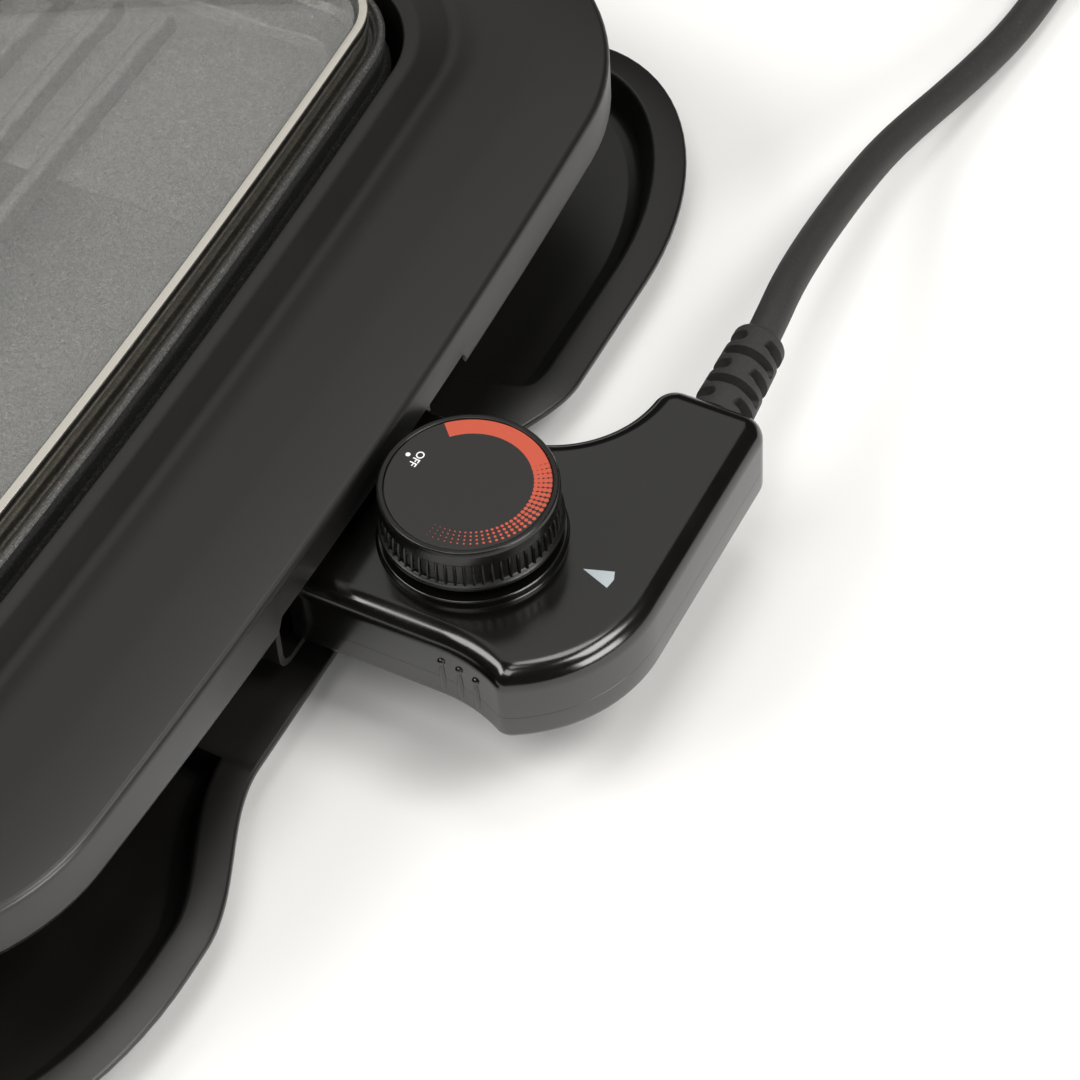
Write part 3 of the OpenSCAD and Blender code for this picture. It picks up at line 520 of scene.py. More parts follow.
# fired steatite of the insulators: off-white with a thin glaze
steatite = unevenTone("glazedSteatite", "#e6e1d6", 0.3, 0.0, 0.8, 4.0, [(0.3, "#d8d2c5"), (0.6, "#e9e4da")])
# unpolished phenolic of the nose and switch: dark brown, dull, with filler specks
brownMoulding = unevenTone("filledPhenolic", "#2b2521", 0.5, 0.0, 1.1, 5.0, [(0.4, "#26211e"), (0.65, "#3a322c")])
print("materials made")


# mains cord
cordSettings = {
    "diameter": 8.4,
    "coilCentre": (301.4, 310.0),
    "turnRadii": (47.4, 38.8, 30.2),  # lower layer, outside in
    "upperRadii": (34.4, 43.0),  # upper layer, inside out
    "lowerHeight": 4.8,
    "upperHeight": 12.4,
    "easing": 90.0,  # degrees in which a turn moves over by one pitch
    "climb": (990.0, 1130.0),  # degrees between which the cord rises to the upper layer
    "total": 1710.0,
    "step": 10.0,
}
leadRoute = [
    (249.3, 86, 34), (248.4, 95, 33.8), (247.0, 106, 32.6), (245.5, 122, 29.3), (244.4, 139, 25),
    (243.6, 156, 20.2), (243.7, 172, 16), (245.2, 188, 12.2), (247.6, 204, 9), (250.2, 220, 6.8),
    (252.4, 236, 5.4), (253.6, 252, 4.9), (254, 268, 4.8), (254, 289, 4.8),
]
tailRoute = [
    (288, 266.2, 12.1), (272, 266.1, 12.2), (256, 266, 12.8), (240, 266, 13.6),
    (224, 266, 15.4), (212, 266, 17.6), (205, 266, 18.5),
]


def coilRoute(settings):
    # clockwise from above, starting where the lead meets the outer turn
    first, second, third = settings["turnRadii"]
    upperInner, upperOuter = settings["upperRadii"]
    easing, climbStart = settings["easing"], settings["climb"][0]
    climbLength = settings["climb"][1] - climbStart
    # where each change of radius starts, how long it takes, and where it leads
    moves = [(360 - easing, easing, second), (720 - easing, easing, third),
             (climbStart + 50, climbLength, upperInner), (1440 - easing, easing, upperOuter)]
    points = []
    for k in range(int(settings["total"] / settings["step"]) + 1):
        turned = k * settings["step"]
        radius = first
        for start, length, target in moves:
            radius = mix(radius, target, smoothStep((turned - start) / length))
        angle = math.radians(180 - turned)
        points.append((
            settings["coilCentre"][0] + radius * math.cos(angle),
            settings["coilCentre"][1] + radius * math.sin(angle),
            mix(settings["lowerHeight"], settings["upperHeight"], smoothStep((turned - climbStart) / climbLength)),
        ))
    return points


def buildCord(settings):
    points = leadRoute + coilRoute(settings) + tailRoute
    curve = bpy.data.curves.new("mainsCord", "CURVE")
    curve.dimensions = "3D"
    curve.bevel_depth = settings["diameter"] / 2 * millimetre
    curve.bevel_resolution = 5
    curve.resolution_u = 4
    spline = curve.splines.new("BEZIER")
    spline.bezier_points.add(len(points) - 1)
    for knot, point in zip(spline.bezier_points, points):
        knot.co = Vector(point) * millimetre
        knot.handle_left_type = knot.handle_right_type = "AUTO"
    curve.materials.append(rubber)
    cord = bpy.data.objects.new("mainsCord", curve)
    scene.collection.objects.link(cord)
    bpy.context.view_layer.update()
    return cord


mainsCord = buildCord(cordSettings)
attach(mainsCord, "controller")
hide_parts("cord_lead", "cord_coil", "cord_tail")


plugSettings = {"start": (205.0, 266.0, 18.5), "gripRings": 5}


def buildPlug(settings):
    profile = roundCorners([
        (0, 0, 0), (5.2, 0, 0.8), (5.6, 10, 3), (9.5, 13, 2), (12, 18, 4), (13.2, 26, 6), (14, 34, 2),
        (18, 38, 1.5), (18.4, 40, 0.8), (18.4, 46, 1.2), (17.2, 47, 0.5), (0, 47, 0),
    ], closed=False)
    bm = bmesh.new()
    spinProfile(bm, profile, settings["start"], axis=(-1, 0, 0), outward=(0, 1, 0))
    for k in range(settings["gripRings"]):
        foot, crown, start = 11.6 + 0.25 * k, 12.9 + 0.22 * k, 17.5 + 3 * k
        ring = [(foot, start), (crown, start + 0.6), (crown, start + 1.4), (foot, start + 2)]
        spinProfile(bm, ring, settings["start"], axis=(-1, 0, 0), outward=(0, 1, 0))
    return finishPiece("mainsPlug", bm, "controller", rubber, ["mains_plug"])


mainsPlug = buildPlug(plugSettings)
plugPins = refineNode("plug_pins", "controller", steel)

tieSettings = {"width": 10.0, "wall": 0.8, "slack": 0.2, "turn": 40.0}


def buildTie(settings):
    # flat rubber band round the coil's turns
    reach = cordSettings["diameter"] / 2 + settings["slack"]
    low, high = cordSettings["lowerHeight"] - reach, cordSettings["upperHeight"] + reach
    inner, outer = cordSettings["turnRadii"][2] - reach - 0.1, cordSettings["turnRadii"][0] + reach + 0.1
    wall, half = settings["wall"], settings["width"] / 2
    outline = roundCorners([
        (inner - wall, low - wall, 3), (outer + wall, low - wall, 3), (outer + wall, high - 4, 4),
        (outer - 3.5, high + wall, 5), (inner + 1, high + wall, 5), (inner - wall, high - 4, 4),
    ])
    hollow = insetLoop(outline, wall)
    bm = bmesh.new()
    rings = [[(u, y, z) for u, z in loop]
             for loop, y in ((outline, -half), (outline, half), (hollow, half), (hollow, -half))]
    loftRings(bm, rings, closed=True)
    turn = Matrix.Rotation(math.radians(settings["turn"]), 3, "Z")
    bmesh.ops.rotate(bm, cent=(0, 0, 0), matrix=turn, verts=bm.verts)
    bmesh.ops.translate(bm, vec=(*cordSettings["coilCentre"], 0), verts=bm.verts)
    return finishPiece("cordTie", bm, "controller", rubber, ["cord_tie"])


cordTie = buildTie(tieSettings)
print("plug and tie made")


# housing
housingSettings = {
    "skirtLow": 45.0,
    "apronLow": 28.0,
    "raisedSkirt": 50.0,
    "raisedHalf": 43.6,  # half the width of the raised part, over the controller
    "raisedEase": 2.6,  # width of the slanting step at either end of it
    "raisedDepth": 3.0,  # how far in the raised edge goes
    "edgeRadius": 1.8,
    "crown": 0.6,
    "wall": 2.4,
    "edgeZone": 6.0,  # band along each edge where the section keeps its own measure
    "stepMarks": 8,  # points along each slanting step
}


def bodyOutline(kind, grow, settings):
    # points are set along the skirt's slanting steps, which the bow leaves a little nearer the middle
    span = 2 * (bodyB - bodyCornerRadius) * (1 - sideBow / bodyB)
    count = settings["stepMarks"]
    marks = [0.5 + side * (settings["raisedHalf"] - settings["raisedEase"] * k / count) / span
             for side in (1, -1) for k in range(-1, count + 2)]
    if kind == "outer":
        loop = roundRect(bodyA + grow, bodyB + grow, bodyCornerRadius + grow, endMarks=marks)
        return bowed(loop, bodyA, bodyB, endBow, sideBow)
    return openingLoop(openingA + grow, openingB + grow, openingRadius + grow, marks)


def bodyRing(u, height, settings):
    # ring of points u inwards from the outer outline, measured on the wide ends
    zone = settings["edgeZone"]
    if u <= zone:
        share, grow = 0.0, -u
    elif u >= endFlange - zone:
        share, grow = 1.0, endFlange - u
    else:
        share = (u - zone) / (endFlange - 2 * zone)
        grow = mix(-zone, zone, share)
    raised = settings["raisedSkirt"] + 0.15 * (height - settings["skirtLow"])
    ring = []
    for p, q in zip(bodyOutline("outer", grow, settings), bodyOutline("inner", grow, settings)):
        x, y, z = mix(p[0], q[0], share), mix(p[1], q[1], share), height
        if x > 0 and u < settings["raisedDepth"] and height < settings["raisedSkirt"]:
            z = mix(height, raised, smoothStep((settings["raisedHalf"] - abs(y)) / settings["raisedEase"]))
        ring.append((x + bodyX, y, z))
    return ring


def buildHousing(settings):
    wall, low, apronLow, top = settings["wall"], settings["skirtLow"], settings["apronLow"], flangeTop
    section = roundCorners([
        (0.8, low, 0.3), (0, 47, 1.0), (0, top, settings["edgeRadius"]), (18.7, top + settings["crown"], 60),
        (33.8, top + 0.2, 36), (38.6, top - 0.75, 12), (40.8, top - 0.85, 8), (49.5, 56.4, 6), (51.6, 56.5, 0),
        (endFlange, 56.5, 0.6), (endFlange, apronLow, 0.5), (endFlange - wall, apronLow, 0.5),
        (endFlange - wall, 53.1, 1), (49.6, 53.1, 2), (39.4, 56.8, 4), (18.7, 58, 30), (wall + 0.6, 57.6, 1),
        (wall, low, 0.3),
    ], steps=5)
    bm = bmesh.new()
    loftRings(bm, [bodyRing(u, z, settings) for u, z in section], closed=True)
    leg = roundCorners([(4.5, 17, 0), (4.5, 7.3, 0.4), (7, 7.3, 0.6), (7, 57.4, 0)], closed=False)
    for spot in legSpots:
        spinProfile(bm, leg, spot, steps=48)
    return finishPiece("housingShell", bm, "grill", polyester, ["housing"], sharpAngle=40)


buildHousing(housingSettings)
refineNode("terminal_guard", "grill", polyester)
print("housing made")


# drip tray
traySettings = {
    "cornerX": 46.0,
    "cornerY": 70.0,
    "rimWidth": 8.6,
    "notchDepth": 13.4,
    "landingHalf": 56.0,
    "landingReach": 20.0,
    "landingEase": 22.0,
    "easeLeft": 46.0,  # run of the notch's side at -Y
    "easeRight": 42.0,  # and at +Y
    "rimHeight": 14.0,
    "floorHeight": 5.0,
    "footHeight": 2.5,
}


def trayOutline(settings):
    # the outline, and how much further each of its points the floor's landing reaches in
    half = settings["landingHalf"]
    shaped, extra = [], []
    for x, y in roundRect(trayA, trayB, (settings["cornerX"], settings["cornerY"]), endSteps=200):
        onLanding = x > trayA - 1 and y > -half - 1
        ease = smoothStep((y - half + 12) / settings["landingEase"])
        extra.append(settings["landingReach"] * (1 - ease) if onLanding else 0.0)
        if x > 0:
            away = (-y - half) / settings["easeLeft"] if y < 0 else (y - half + 24) / settings["easeRight"]
            x -= settings["notchDepth"] * (1 - smoothStep(away))
        shaped.append((x, y))
    return shaped, extra


def buildTray(settings):
    rim, floor, foot = settings["rimHeight"], settings["floorHeight"], settings["footHeight"]
    width = settings["rimWidth"]
    outline, extra = trayOutline(settings)
    section = roundCorners([
        (13, foot, 0), (12, foot, 0.6), (1.4, rim - 3.0, 1), (0.2, rim - 2.2, 0.5), (0.2, rim - 0.6, 0.9),
        (width, rim + 0.6, 1.2), (width + 3.2, floor + 1.0, 3), (width + 6.5, floor, 2), (width + 8, floor, 0),
    ], closed=False, steps=5)
    rings = []
    for depth, height in section:
        inside = height > floor - 0.1 and depth > max(3, width - 4)
        moved = insetLoop(outline, [depth + reach * inside for reach in extra])
        rings.append(atHeight(moved, height))
    bm = bmesh.new()
    loftRings(bm, rings)
    socket = roundCorners([(9, floor - 0.5, 0), (9, floor + 2, 0.6), (4, floor + 2, 0.4), (4, floor + 7, 0.8),
                           (0, floor + 7, 0)], closed=False)
    for spot in legSpots:
        spinProfile(bm, socket, spot, steps=48)
    return finishPiece("dripTray", bm, "base", polyester, ["drip_tray"], sharpAngle=40)


buildTray(traySettings)
refineNode("tray_feet", "base", rubber)
print("drip tray made")


# grill plate
plateSettings = {
    "ridges": 15,
    "ridgePitch": 15.0,
    "ridgeHeight": 4.5,
    "ridgeEnd": 24.0,  # from the plate's edge
    "slotWidth": 5.0,
    "slotHalf": 52.0,
    "slotRows": (-9, -5, -1, 1, 5, 9),  # in half pitches from the middle
    "bossHalf": 20.0,  # the boss that carries the terminals
    "bossLength": 23.0,
    "bossProud": 3.3,
    "pinHalf": 13.0,
    "pinBore": 3.35,  # radii of the bores
    "probeBore": 3.1,
    "noseFront": 46.0,  # from the dial's axis
    "probeLength": 70.0,
    "tunnelHalf": 6.0,
}


def cutAway(piece, bm):
    # cuts closed forms out of a finished piece and applies the result
    cutter = bpy.data.objects.new("cutter", closedMesh("cutter", bm))
    scene.collection.objects.link(cutter)
    modifier = piece.modifiers.new("cut", "BOOLEAN")
    modifier.operation = "DIFFERENCE"
    modifier.solver = "EXACT"
    modifier.object = cutter
    bpy.context.view_layer.update()
    evaluated = piece.evaluated_get(bpy.context.evaluated_depsgraph_get())
    mesh = bpy.data.meshes.new_from_object(evaluated)
    mesh.name = piece.name
    piece.modifiers.clear()
    piece.data = mesh
    bpy.data.objects.remove(cutter)


def addBlock(bm, low, high, bevel):
    made = bmesh.ops.create_cube(bm, size=1.0)["verts"]
    bmesh.ops.scale(bm, vec=Vector(high) - Vector(low), verts=made)
    bmesh.ops.translate(bm, vec=(Vector(high) + Vector(low)) / 2, verts=made)
    bmesh.ops.bevel(bm, geom=list({e for v in made for e in v.link_edges}), offset=bevel, offset_type="OFFSET",
                    affect="EDGES", segments=2, profile=0.5, material=-1)


def addBore(bm, start, end, y, radius):
    # rod along X at the height of the terminals
    length = end - start
    spinProfile(bm, [(0, 0), (radius, 0), (radius, length), (0, length)], (start, y, axisHeight),
                (1, 0, 0), (0, 0, 1), 48)


def buildPlate(settings):
    section = roundCorners([
        (4, plateUnder, 0), (3, plateUnder, 0.8), (0.6, 47, 1.5), (2.4, 50, 1), (1.5, 57.9, 0.4),
        (2.1, crestTop, 0.4), (3.2, crestTop, 0.7), (3.8, 57.4, 0.5), (4.5, 57.0, 0.4), (4.8, ledgeTop, 0.5),
        (9.2, ledgeTop, 1.5),
        (11, 53.4, 2), (15, cookTop + 1, 2), (18, cookTop, 2), (19, cookTop, 0),
    ], closed=False, steps=5)
    bm = bmesh.new()
    loftRings(bm, [atHeight(plateLoop(d), z) for d, z in section])
    plate = finishPiece("grillPlate", bm, "grill", coating, ["grill_plate"])
    bm = bmesh.new()
    halfSlot, slotHalf, pitch = settings["slotWidth"] / 2, settings["slotHalf"], settings["ridgePitch"]
    for row in settings["slotRows"]:
        x = bodyX + row * pitch / 2
        addBlock(bm, (x - halfSlot, -slotHalf, plateUnder - 2), (x + halfSlot, slotHalf, cookTop + 2), 0.8)
    cutAway(plate, bm)


def buildRidges(settings):
    bm = bmesh.new()
    half, height = plateB - settings["ridgeEnd"], settings["ridgeHeight"]
    outline = roundCorners([(-3, -0.5, 0), (3, -0.5, 0), (1.7, height, 1.4), (-1.7, height, 1.4)], steps=4)
    for k in range(settings["ridges"]):
        x = bodyX + (k - (settings["ridges"] - 1) / 2) * settings["ridgePitch"]
        rings = []
        for y, shrink, drop in ((-half, 0.55, 1.6), (-half + 2.5, 1, 0), (half - 2.5, 1, 0), (half, 0.55, 1.6)):
            rings.append([(x + u * shrink, y, cookTop + max(v - drop * (v > 1), -0.5)) for u, v in outline])
        loftRings(bm, rings)
    finishPiece("plateRidges", bm, "grill", coating)


def buildBoss(settings):
    # boss of the terminals and tunnel of the probe, both bored out
    front = bodyX + openingA + settings["bossProud"]
    bossBack = front - settings["bossLength"]
    probeTip = bodyX + dialX - settings["noseFront"] - settings["probeLength"]
    half, tunnelHalf, high = settings["bossHalf"], settings["tunnelHalf"], plateUnder + 0.5
    bm = bmesh.new()
    addBlock(bm, (bossBack, -half, axisHeight - 6.5), (front, half, high), 1.0)
    boss = finishPiece("terminalBoss", bm, "grill", coating)
    bm = bmesh.new()
    addBlock(bm, (probeTip - 6, -tunnelHalf, axisHeight - 6), (bossBack + 0.5, tunnelHalf, high), 1.0)
    tunnel = finishPiece("probeTunnel", bm, "grill", coating)
    bm = bmesh.new()
    addBore(bm, bossBack - 7, front + 2, 0, settings["probeBore"])
    for side in (-1, 1):
        addBore(bm, bossBack - 2, front + 2, side * settings["pinHalf"], settings["pinBore"])
    cutAway(boss, bm)
    bm = bmesh.new()
    addBore(bm, probeTip - 3, front + 2, 0, settings["probeBore"])
    cutAway(tunnel, bm)


buildPlate(plateSettings)
buildRidges(plateSettings)
buildBoss(plateSettings)
refineNode("heating_element", "grill", sheath)
refineNode("terminal_pins", "grill", steel)
refineNode("pin_insulators", "grill", steatite)
for fitting in ("guard_screws", "plate_screws", "element_clips", "clip_screws"):
    refineNode(fitting, "grill", steel)
print("grill plate and element made")


# lid
lidSettings = {
    "seat": 55.3,
    "rimHeight": 10.5,
    "rimInset": 5.2,
    "glassInset": 7.5,
    "glassBorder": 3.0,
    "glassThickness": 4.0,
    "rise": 16.0,
    "domeShares": (0.045, 0.1, 0.18, 0.27, 0.36, 0.45, 0.54, 0.63, 0.72, 0.8, 0.87, 0.93, 0.97, 1.0),
}


def domeHeight(share, settings):
    edge = settings["seat"] + settings["rimHeight"] - 0.8
    return edge + settings["rise"] * (1 - share ** 2.4)


def buildGlass(settings):
    thick = settings["glassThickness"]
    edge = domeHeight(1.0, settings)
    base = plateLoop(settings["glassInset"] + settings["glassBorder"])
    shares = settings["domeShares"]

    def domeRing(share, drop):
        return atHeight([(x * share, y * share) for x, y in base], domeHeight(share, settings) - drop)

    border = plateLoop(settings["glassInset"])
    rings = [domeRing(s, thick) for s in shares]
    rings += [atHeight(border, edge - thick), atHeight(border, edge)]
    rings += [domeRing(s, 0.0) for s in reversed(shares)]
    bm = bmesh.new()
    loftRings(bm, rings, closed=True)
    finishPiece("lidGlass", bm, "lid", glass, ["lid_glass"])


def buildBand(settings):
    seat, top = settings["seat"], settings["seat"] + settings["rimHeight"]
    edge = domeHeight(1.0, settings)
    under = edge - settings["glassThickness"]
    section = roundCorners([
        (0.45, seat, 0.3), (0.45, top - 3.6, 0.3), (0, top - 2.9, 0.4), (0, top, 0.35), (2.45, top, 0.35),
        (2.6, top - 0.5, 0.2), (2.6, edge, 0), (2.1, edge, 0), (2.1, under, 0), (3.9, under, 0),
        (3.9, under - 0.8, 0), (1.3, under - 0.8, 0), (1.3, seat, 0.3),
    ], steps=5)
    bm = bmesh.new()
    loftRings(bm, [atHeight(plateLoop(settings["rimInset"] + d), z) for d, z in section], closed=True)
    finishPiece("lidBand", bm, "lid", stainless, ["lid_rim"], sharpAngle=40)


def buildKnob():
    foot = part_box("lid_knob")[0].z / millimetre
    profile = roundCorners([
        (2.6, 0, 0), (11, 0, 0.8), (10, 3, 2), (9.4, 8, 4), (11.4, 12, 3), (20, 13.4, 1.6), (22, 15.5, 1.8),
        (21.5, 19, 2.5), (12, 23.2, 14), (0, 24.5, 0),
    ], closed=False)
    bm = bmesh.new()
    spinProfile(bm, profile, (bodyX, 0, foot))
    finishPiece("lidKnob", bm, "lid", phenolic, ["lid_knob"])


buildGlass(lidSettings)
buildBand(lidSettings)
buildKnob()
for fitting in ("knob_seat", "knob_screw", "vent_eyelet"):
    refineNode(fitting, "lid", steel)
print("lid made")


# controller casing
casingSettings = {
    "neckHalf": 28.8,
    "neckReach": 31.0,
    "gripStart": 6.0,
    "gripRadius": 35.0,
    "cornerAt": 23.4,
    "armReach": 58.4,
    "bayLift": 0.9,  # how much further the neck's bay side lies from the axis
    "endRadius": 6.0,
    "armInner": 18.0,
    "bayRadius": 26.0,
    "edgeRadius": 5.2,
    "lowRadius": 2.6,
    "tipEase": 2.0,  # how far the corner between grip and round end is blunted
    "seam": 0.04,
    "ribSpots": (6.9, 11.5, 16.1),  # along X from the dial's axis
    "ribTop": 36.6,
    "ribLow": 26.6,
    "ribHalf": 0.75,
    "ribProud": 0.45,
    "beadHalf": 0.95,
    "beadProud": 0.75,
    "pointer": ((26.5, 1.1), (33.1, 3.3), (33.9, 1.2), (33.5, -1.4)),  # from the dial's axis
}


def triangleAngle(near, other, far):
    # angle in degrees between two sides of a triangle, opposite the third
    return math.degrees(math.acos((near ** 2 + other ** 2 - far ** 2) / (2 * near * other)))


def casingPlan(depth, settings):
    # plan of the casing about the dial's axis, moved in by depth
    half, reach = settings["neckHalf"], settings["neckReach"]
    gripRadius, bayRadius, end = settings["gripRadius"], settings["bayRadius"], settings["endRadius"]
    gripTurn = math.asin((settings["cornerAt"] - settings["gripStart"]) / gripRadius)
    cornerT = half + gripRadius * (1 - math.cos(gripTurn))
    run = controlReach - settings["cornerAt"]
    cornerRadius = (run ** 2 + cornerT ** 2) / (2 * run)
    gripCentre = Vector((settings["gripStart"], -half - gripRadius))
    cornerCentre = Vector((controlReach - cornerRadius, 0))
    bayHalf = half + settings["bayLift"]
    bayCentre = (settings["armInner"] - bayRadius, bayHalf + bayRadius)
    grip, corner = gripRadius + depth, cornerRadius - depth
    line = cornerCentre - gripCentre
    apart, across = line.length, math.degrees(math.atan2(line.y, line.x))
    gripEnd = across - triangleAngle(apart, grip, corner)
    cornerStart = across - 180 + triangleAngle(apart, corner, grip)
    endT = settings["armReach"] - end
    bayTurn = math.degrees(math.asin((endT - bayCentre[1]) / (bayRadius + end)))
    bayEnd = bayCentre[0] + (bayRadius + end) * math.cos(math.radians(bayTurn))
    # grip and round end meet at a tip, which a curve blunts
    tip = arcPoints(gripCentre, grip, 90, gripEnd, 20)[-1]
    ease = math.degrees(settings["tipEase"])
    gripPart = arcPoints(gripCentre, grip, 90, gripEnd + ease / grip, 20)
    cornerPart = arcPoints(cornerCentre, corner, cornerStart + ease / corner, 0, 36)
    blunted = []
    for k in range(1, 8):
        before = [mix(a, b, k / 8) for a, b in zip(gripPart[-1], tip)]
        after = [mix(a, b, k / 8) for a, b in zip(tip, cornerPart[0])]
        blunted.append(tuple(mix(a, b, k / 8) for a, b in zip(before, after)))
    points = [(depth - reach, depth - half), (-12.0, depth - half)] + gripPart + blunted + cornerPart
    points += arcPoints((controlReach - end, endT), end - depth, 0, 90, 14)
    points += arcPoints((bayEnd, endT), end - depth, 90, 180 + bayTurn, 14)
    points += arcPoints(bayCentre, bayRadius + depth, bayTurn, -90, 28)[1:]
    return points + [(depth - reach, bayHalf - depth)]


def buildShells(settings):
    radius, low, seam = settings["edgeRadius"], settings["lowRadius"], settings["seam"]

    def ring(depth, height):
        return atHeight(casingPlan(depth, settings), height, dialCentre)

    rings = [ring(seam, partingHeight), ring(0, partingHeight + seam)]
    for k in range(13):
        turn = math.radians(90 * k / 12)
        rings.append(ring(radius * (1 - math.cos(turn)), controlTop - radius * (1 - math.sin(turn))))
    bm = bmesh.new()
    loftRings(bm, rings)
    boss = roundCorners([(21.9, controlTop - 0.3, 0), (21.2, controlTop + 0.05, 0.5),
                         (21.0, controlTop + 2.0, 0.4), (3.05, controlTop + 2.0, 0)], closed=False)
    spinProfile(bm, boss, (*dialCentre, 0), steps=128)
    finishPiece("casingTop", bm, "controller", phenolic, ["controller_top_shell"], sharpAngle=40)

    rings = []
    for k in range(9):
        turn = math.radians(90 * k / 8)
        rings.append(ring(low * (1 - math.sin(turn)), controlLow + low * (1 - math.cos(turn))))
    rings += [ring(0, partingHeight - seam), ring(seam, partingHeight)]
    bm = bmesh.new()
    loftRings(bm, rings)
    finishPiece("casingBottom", bm, "controller", phenolic, ["controller_bottom_shell"], sharpAngle=40)


def buildGripRibs(settings):
    # three raised ribs on the grip, each with a bead at its top
    bm = bmesh.new()
    radius = settings["gripRadius"]
    middle = (settings["ribTop"] + settings["ribLow"]) / 2
    for spot in settings["ribSpots"]:
        turn = math.asin((spot - settings["gripStart"]) / radius)
        outward = Vector((-math.sin(turn), -math.cos(turn), 0))
        along = Vector((math.cos(turn), -math.sin(turn), 0))
        foot = Vector((dialCentre[0] + spot, radius * math.cos(turn) - settings["neckHalf"] - radius, 0))
        forms = ((settings["beadHalf"], settings["beadProud"], settings["beadHalf"], settings["ribTop"], 10),
                 (settings["ribHalf"], settings["ribProud"], middle - settings["ribLow"], middle - 0.6, 16))
        for half, proud, tall, height, segments in forms:
            ball = bmesh.ops.create_uvsphere(bm, u_segments=16, v_segments=segments, radius=1.0)["verts"]
            shape = Matrix((along * half, outward * proud, Vector((0, 0, tall)))).transposed().to_4x4()
            shape.translation = foot + Vector((0, 0, height))
            bmesh.ops.transform(bm, matrix=shape, verts=ball)
    finishPiece("gripRibs", bm, "controller", phenolic)


def buildPointer(settings):
    # printed on the casing's top
    bm = bmesh.new()
    corners = [(dialCentre[0] + x, y, controlTop + 0.02) for x, y in settings["pointer"]]
    face = bm.faces.new([bm.verts.new(corner) for corner in corners])
    raised = bmesh.ops.extrude_face_region(bm, geom=[face])["geom"]
    bmesh.ops.translate(bm, vec=(0, 0, 0.04), verts=[v for v in raised if isinstance(v, bmesh.types.BMVert)])
    finishPiece("pointerPrint", bm, "controller", paleInk)


buildShells(casingSettings)
buildGripRibs(casingSettings)
buildPointer(casingSettings)


reliefSettings = {
    "axisX": 30.8,
    "lean": 1.4,  # how far the outer end stands nearer the housing
    "height": 34.0,
    "start": 57.5,
    "length": 28.7,
    "startRadius": 7.4,
    "endRadius": 6.45,
    "endRound": 1.4,
    "slotDepth": 2.7,
    "slotEase": 0.55,  # how softly a slot's edge falls away
    "tilt": -6.0,  # degrees by which the moulding is turned in the casing
    "rowPitch": 4.78,
    "firstRow": 0.2,
    "rows": 6,
    "overSlot": (79.0, 2.7),  # half the turn and the width of the slots over and under
    "sideSlot": (70.0, 3.1),  # the same of the slots on both sides
    "sleeve": ((-5.4, 6.2), (-2.7, 6.2), (-2.6, 4.5), (0.05, 4.5)),  # the part inside the casing
    "around": 144,  # points round it
    "lengthwise": 114,
}


def slotDepthAt(turn, along, settings):
    # slots of one row lie over and under, those of the next to both sides
    depth = 0.0
    ease = settings["slotEase"]
    for row in range(settings["rows"]):
        half, width = settings["sideSlot"] if row % 2 else settings["overSlot"]
        across = abs(along - settings["firstRow"] - row * settings["rowPitch"])
        for centre in (0, 180) if row % 2 else (90, 270):
            away = abs((turn - settings["tilt"] - centre + 180) % 360 - 180) - half
            past = max(0.0, math.radians(away) * settings["startRadius"] + width / 2)
            beyond = math.hypot(across, past) - width / 2
            depth = max(depth, settings["slotDepth"] * (1 - smoothStep((beyond + ease) / ease)))
    return depth


def buildRelief(settings):
    length, roundOff, count = settings["length"], settings["endRound"], settings["around"]
    rings = [(along, [radius] * count) for along, radius in settings["sleeve"]]
    for k in range(settings["lengthwise"] + 1):
        along = length * k / settings["lengthwise"]
        radius = mix(settings["startRadius"], settings["endRadius"], along / length)
        close = min(along, length - along)
        if close < roundOff:
            fall = roundOff * (1 - math.sqrt(1 - (1 - close / roundOff) ** 2))
            radius -= fall * (0.35 if along < roundOff else 1.0)
        rings.append((along, [radius - slotDepthAt(360 * i / count, along, settings) for i in range(count)]))
    circle = [(math.cos(math.tau * i / count), math.sin(math.tau * i / count)) for i in range(count)]
    placed = []
    for along, radii in rings:
        axisX = dialCentre[0] + settings["axisX"] - settings["lean"] * max(along, 0) / length
        placed.append([(axisX + radius * u, settings["start"] + along, settings["height"] + radius * v)
                       for radius, (u, v) in zip(radii, circle)])
    bm = bmesh.new()
    loftRings(bm, placed)
    finishPiece("strainRelief", bm, "controller", rubber, ["strain_relief"], sharpAngle=50)


buildRelief(reliefSettings)
refineNode("contact_nose", "controller", brownMoulding)
refineNode("contact_sleeves", "controller", brass)
refineNode("thermostat_switch", "controller", brownMoulding)
for fitting in ("sensor_probe", "controller_screws"):
    refineNode(fitting, "controller", steel)
print("controller made")


# dial
dialSettings = {
    "low": 50.0,
    "height": 12.0,
    "radius": 20.0,
    "discRadius": 18.35,
    "sink": 0.8,
    "ribs": 60,
    "ribTop": 7.8,  # above the dial's lower edge
    "ribFoot": 19.25,
    "ribProud": 0.78,
    "ribHalf": 0.46,
    "discThickness": 0.6,
    "offAngle": 173.8,
    "wordSize": 2.6,
    "wordRadius": 13.45,
    "markRadius": 15.75,
}


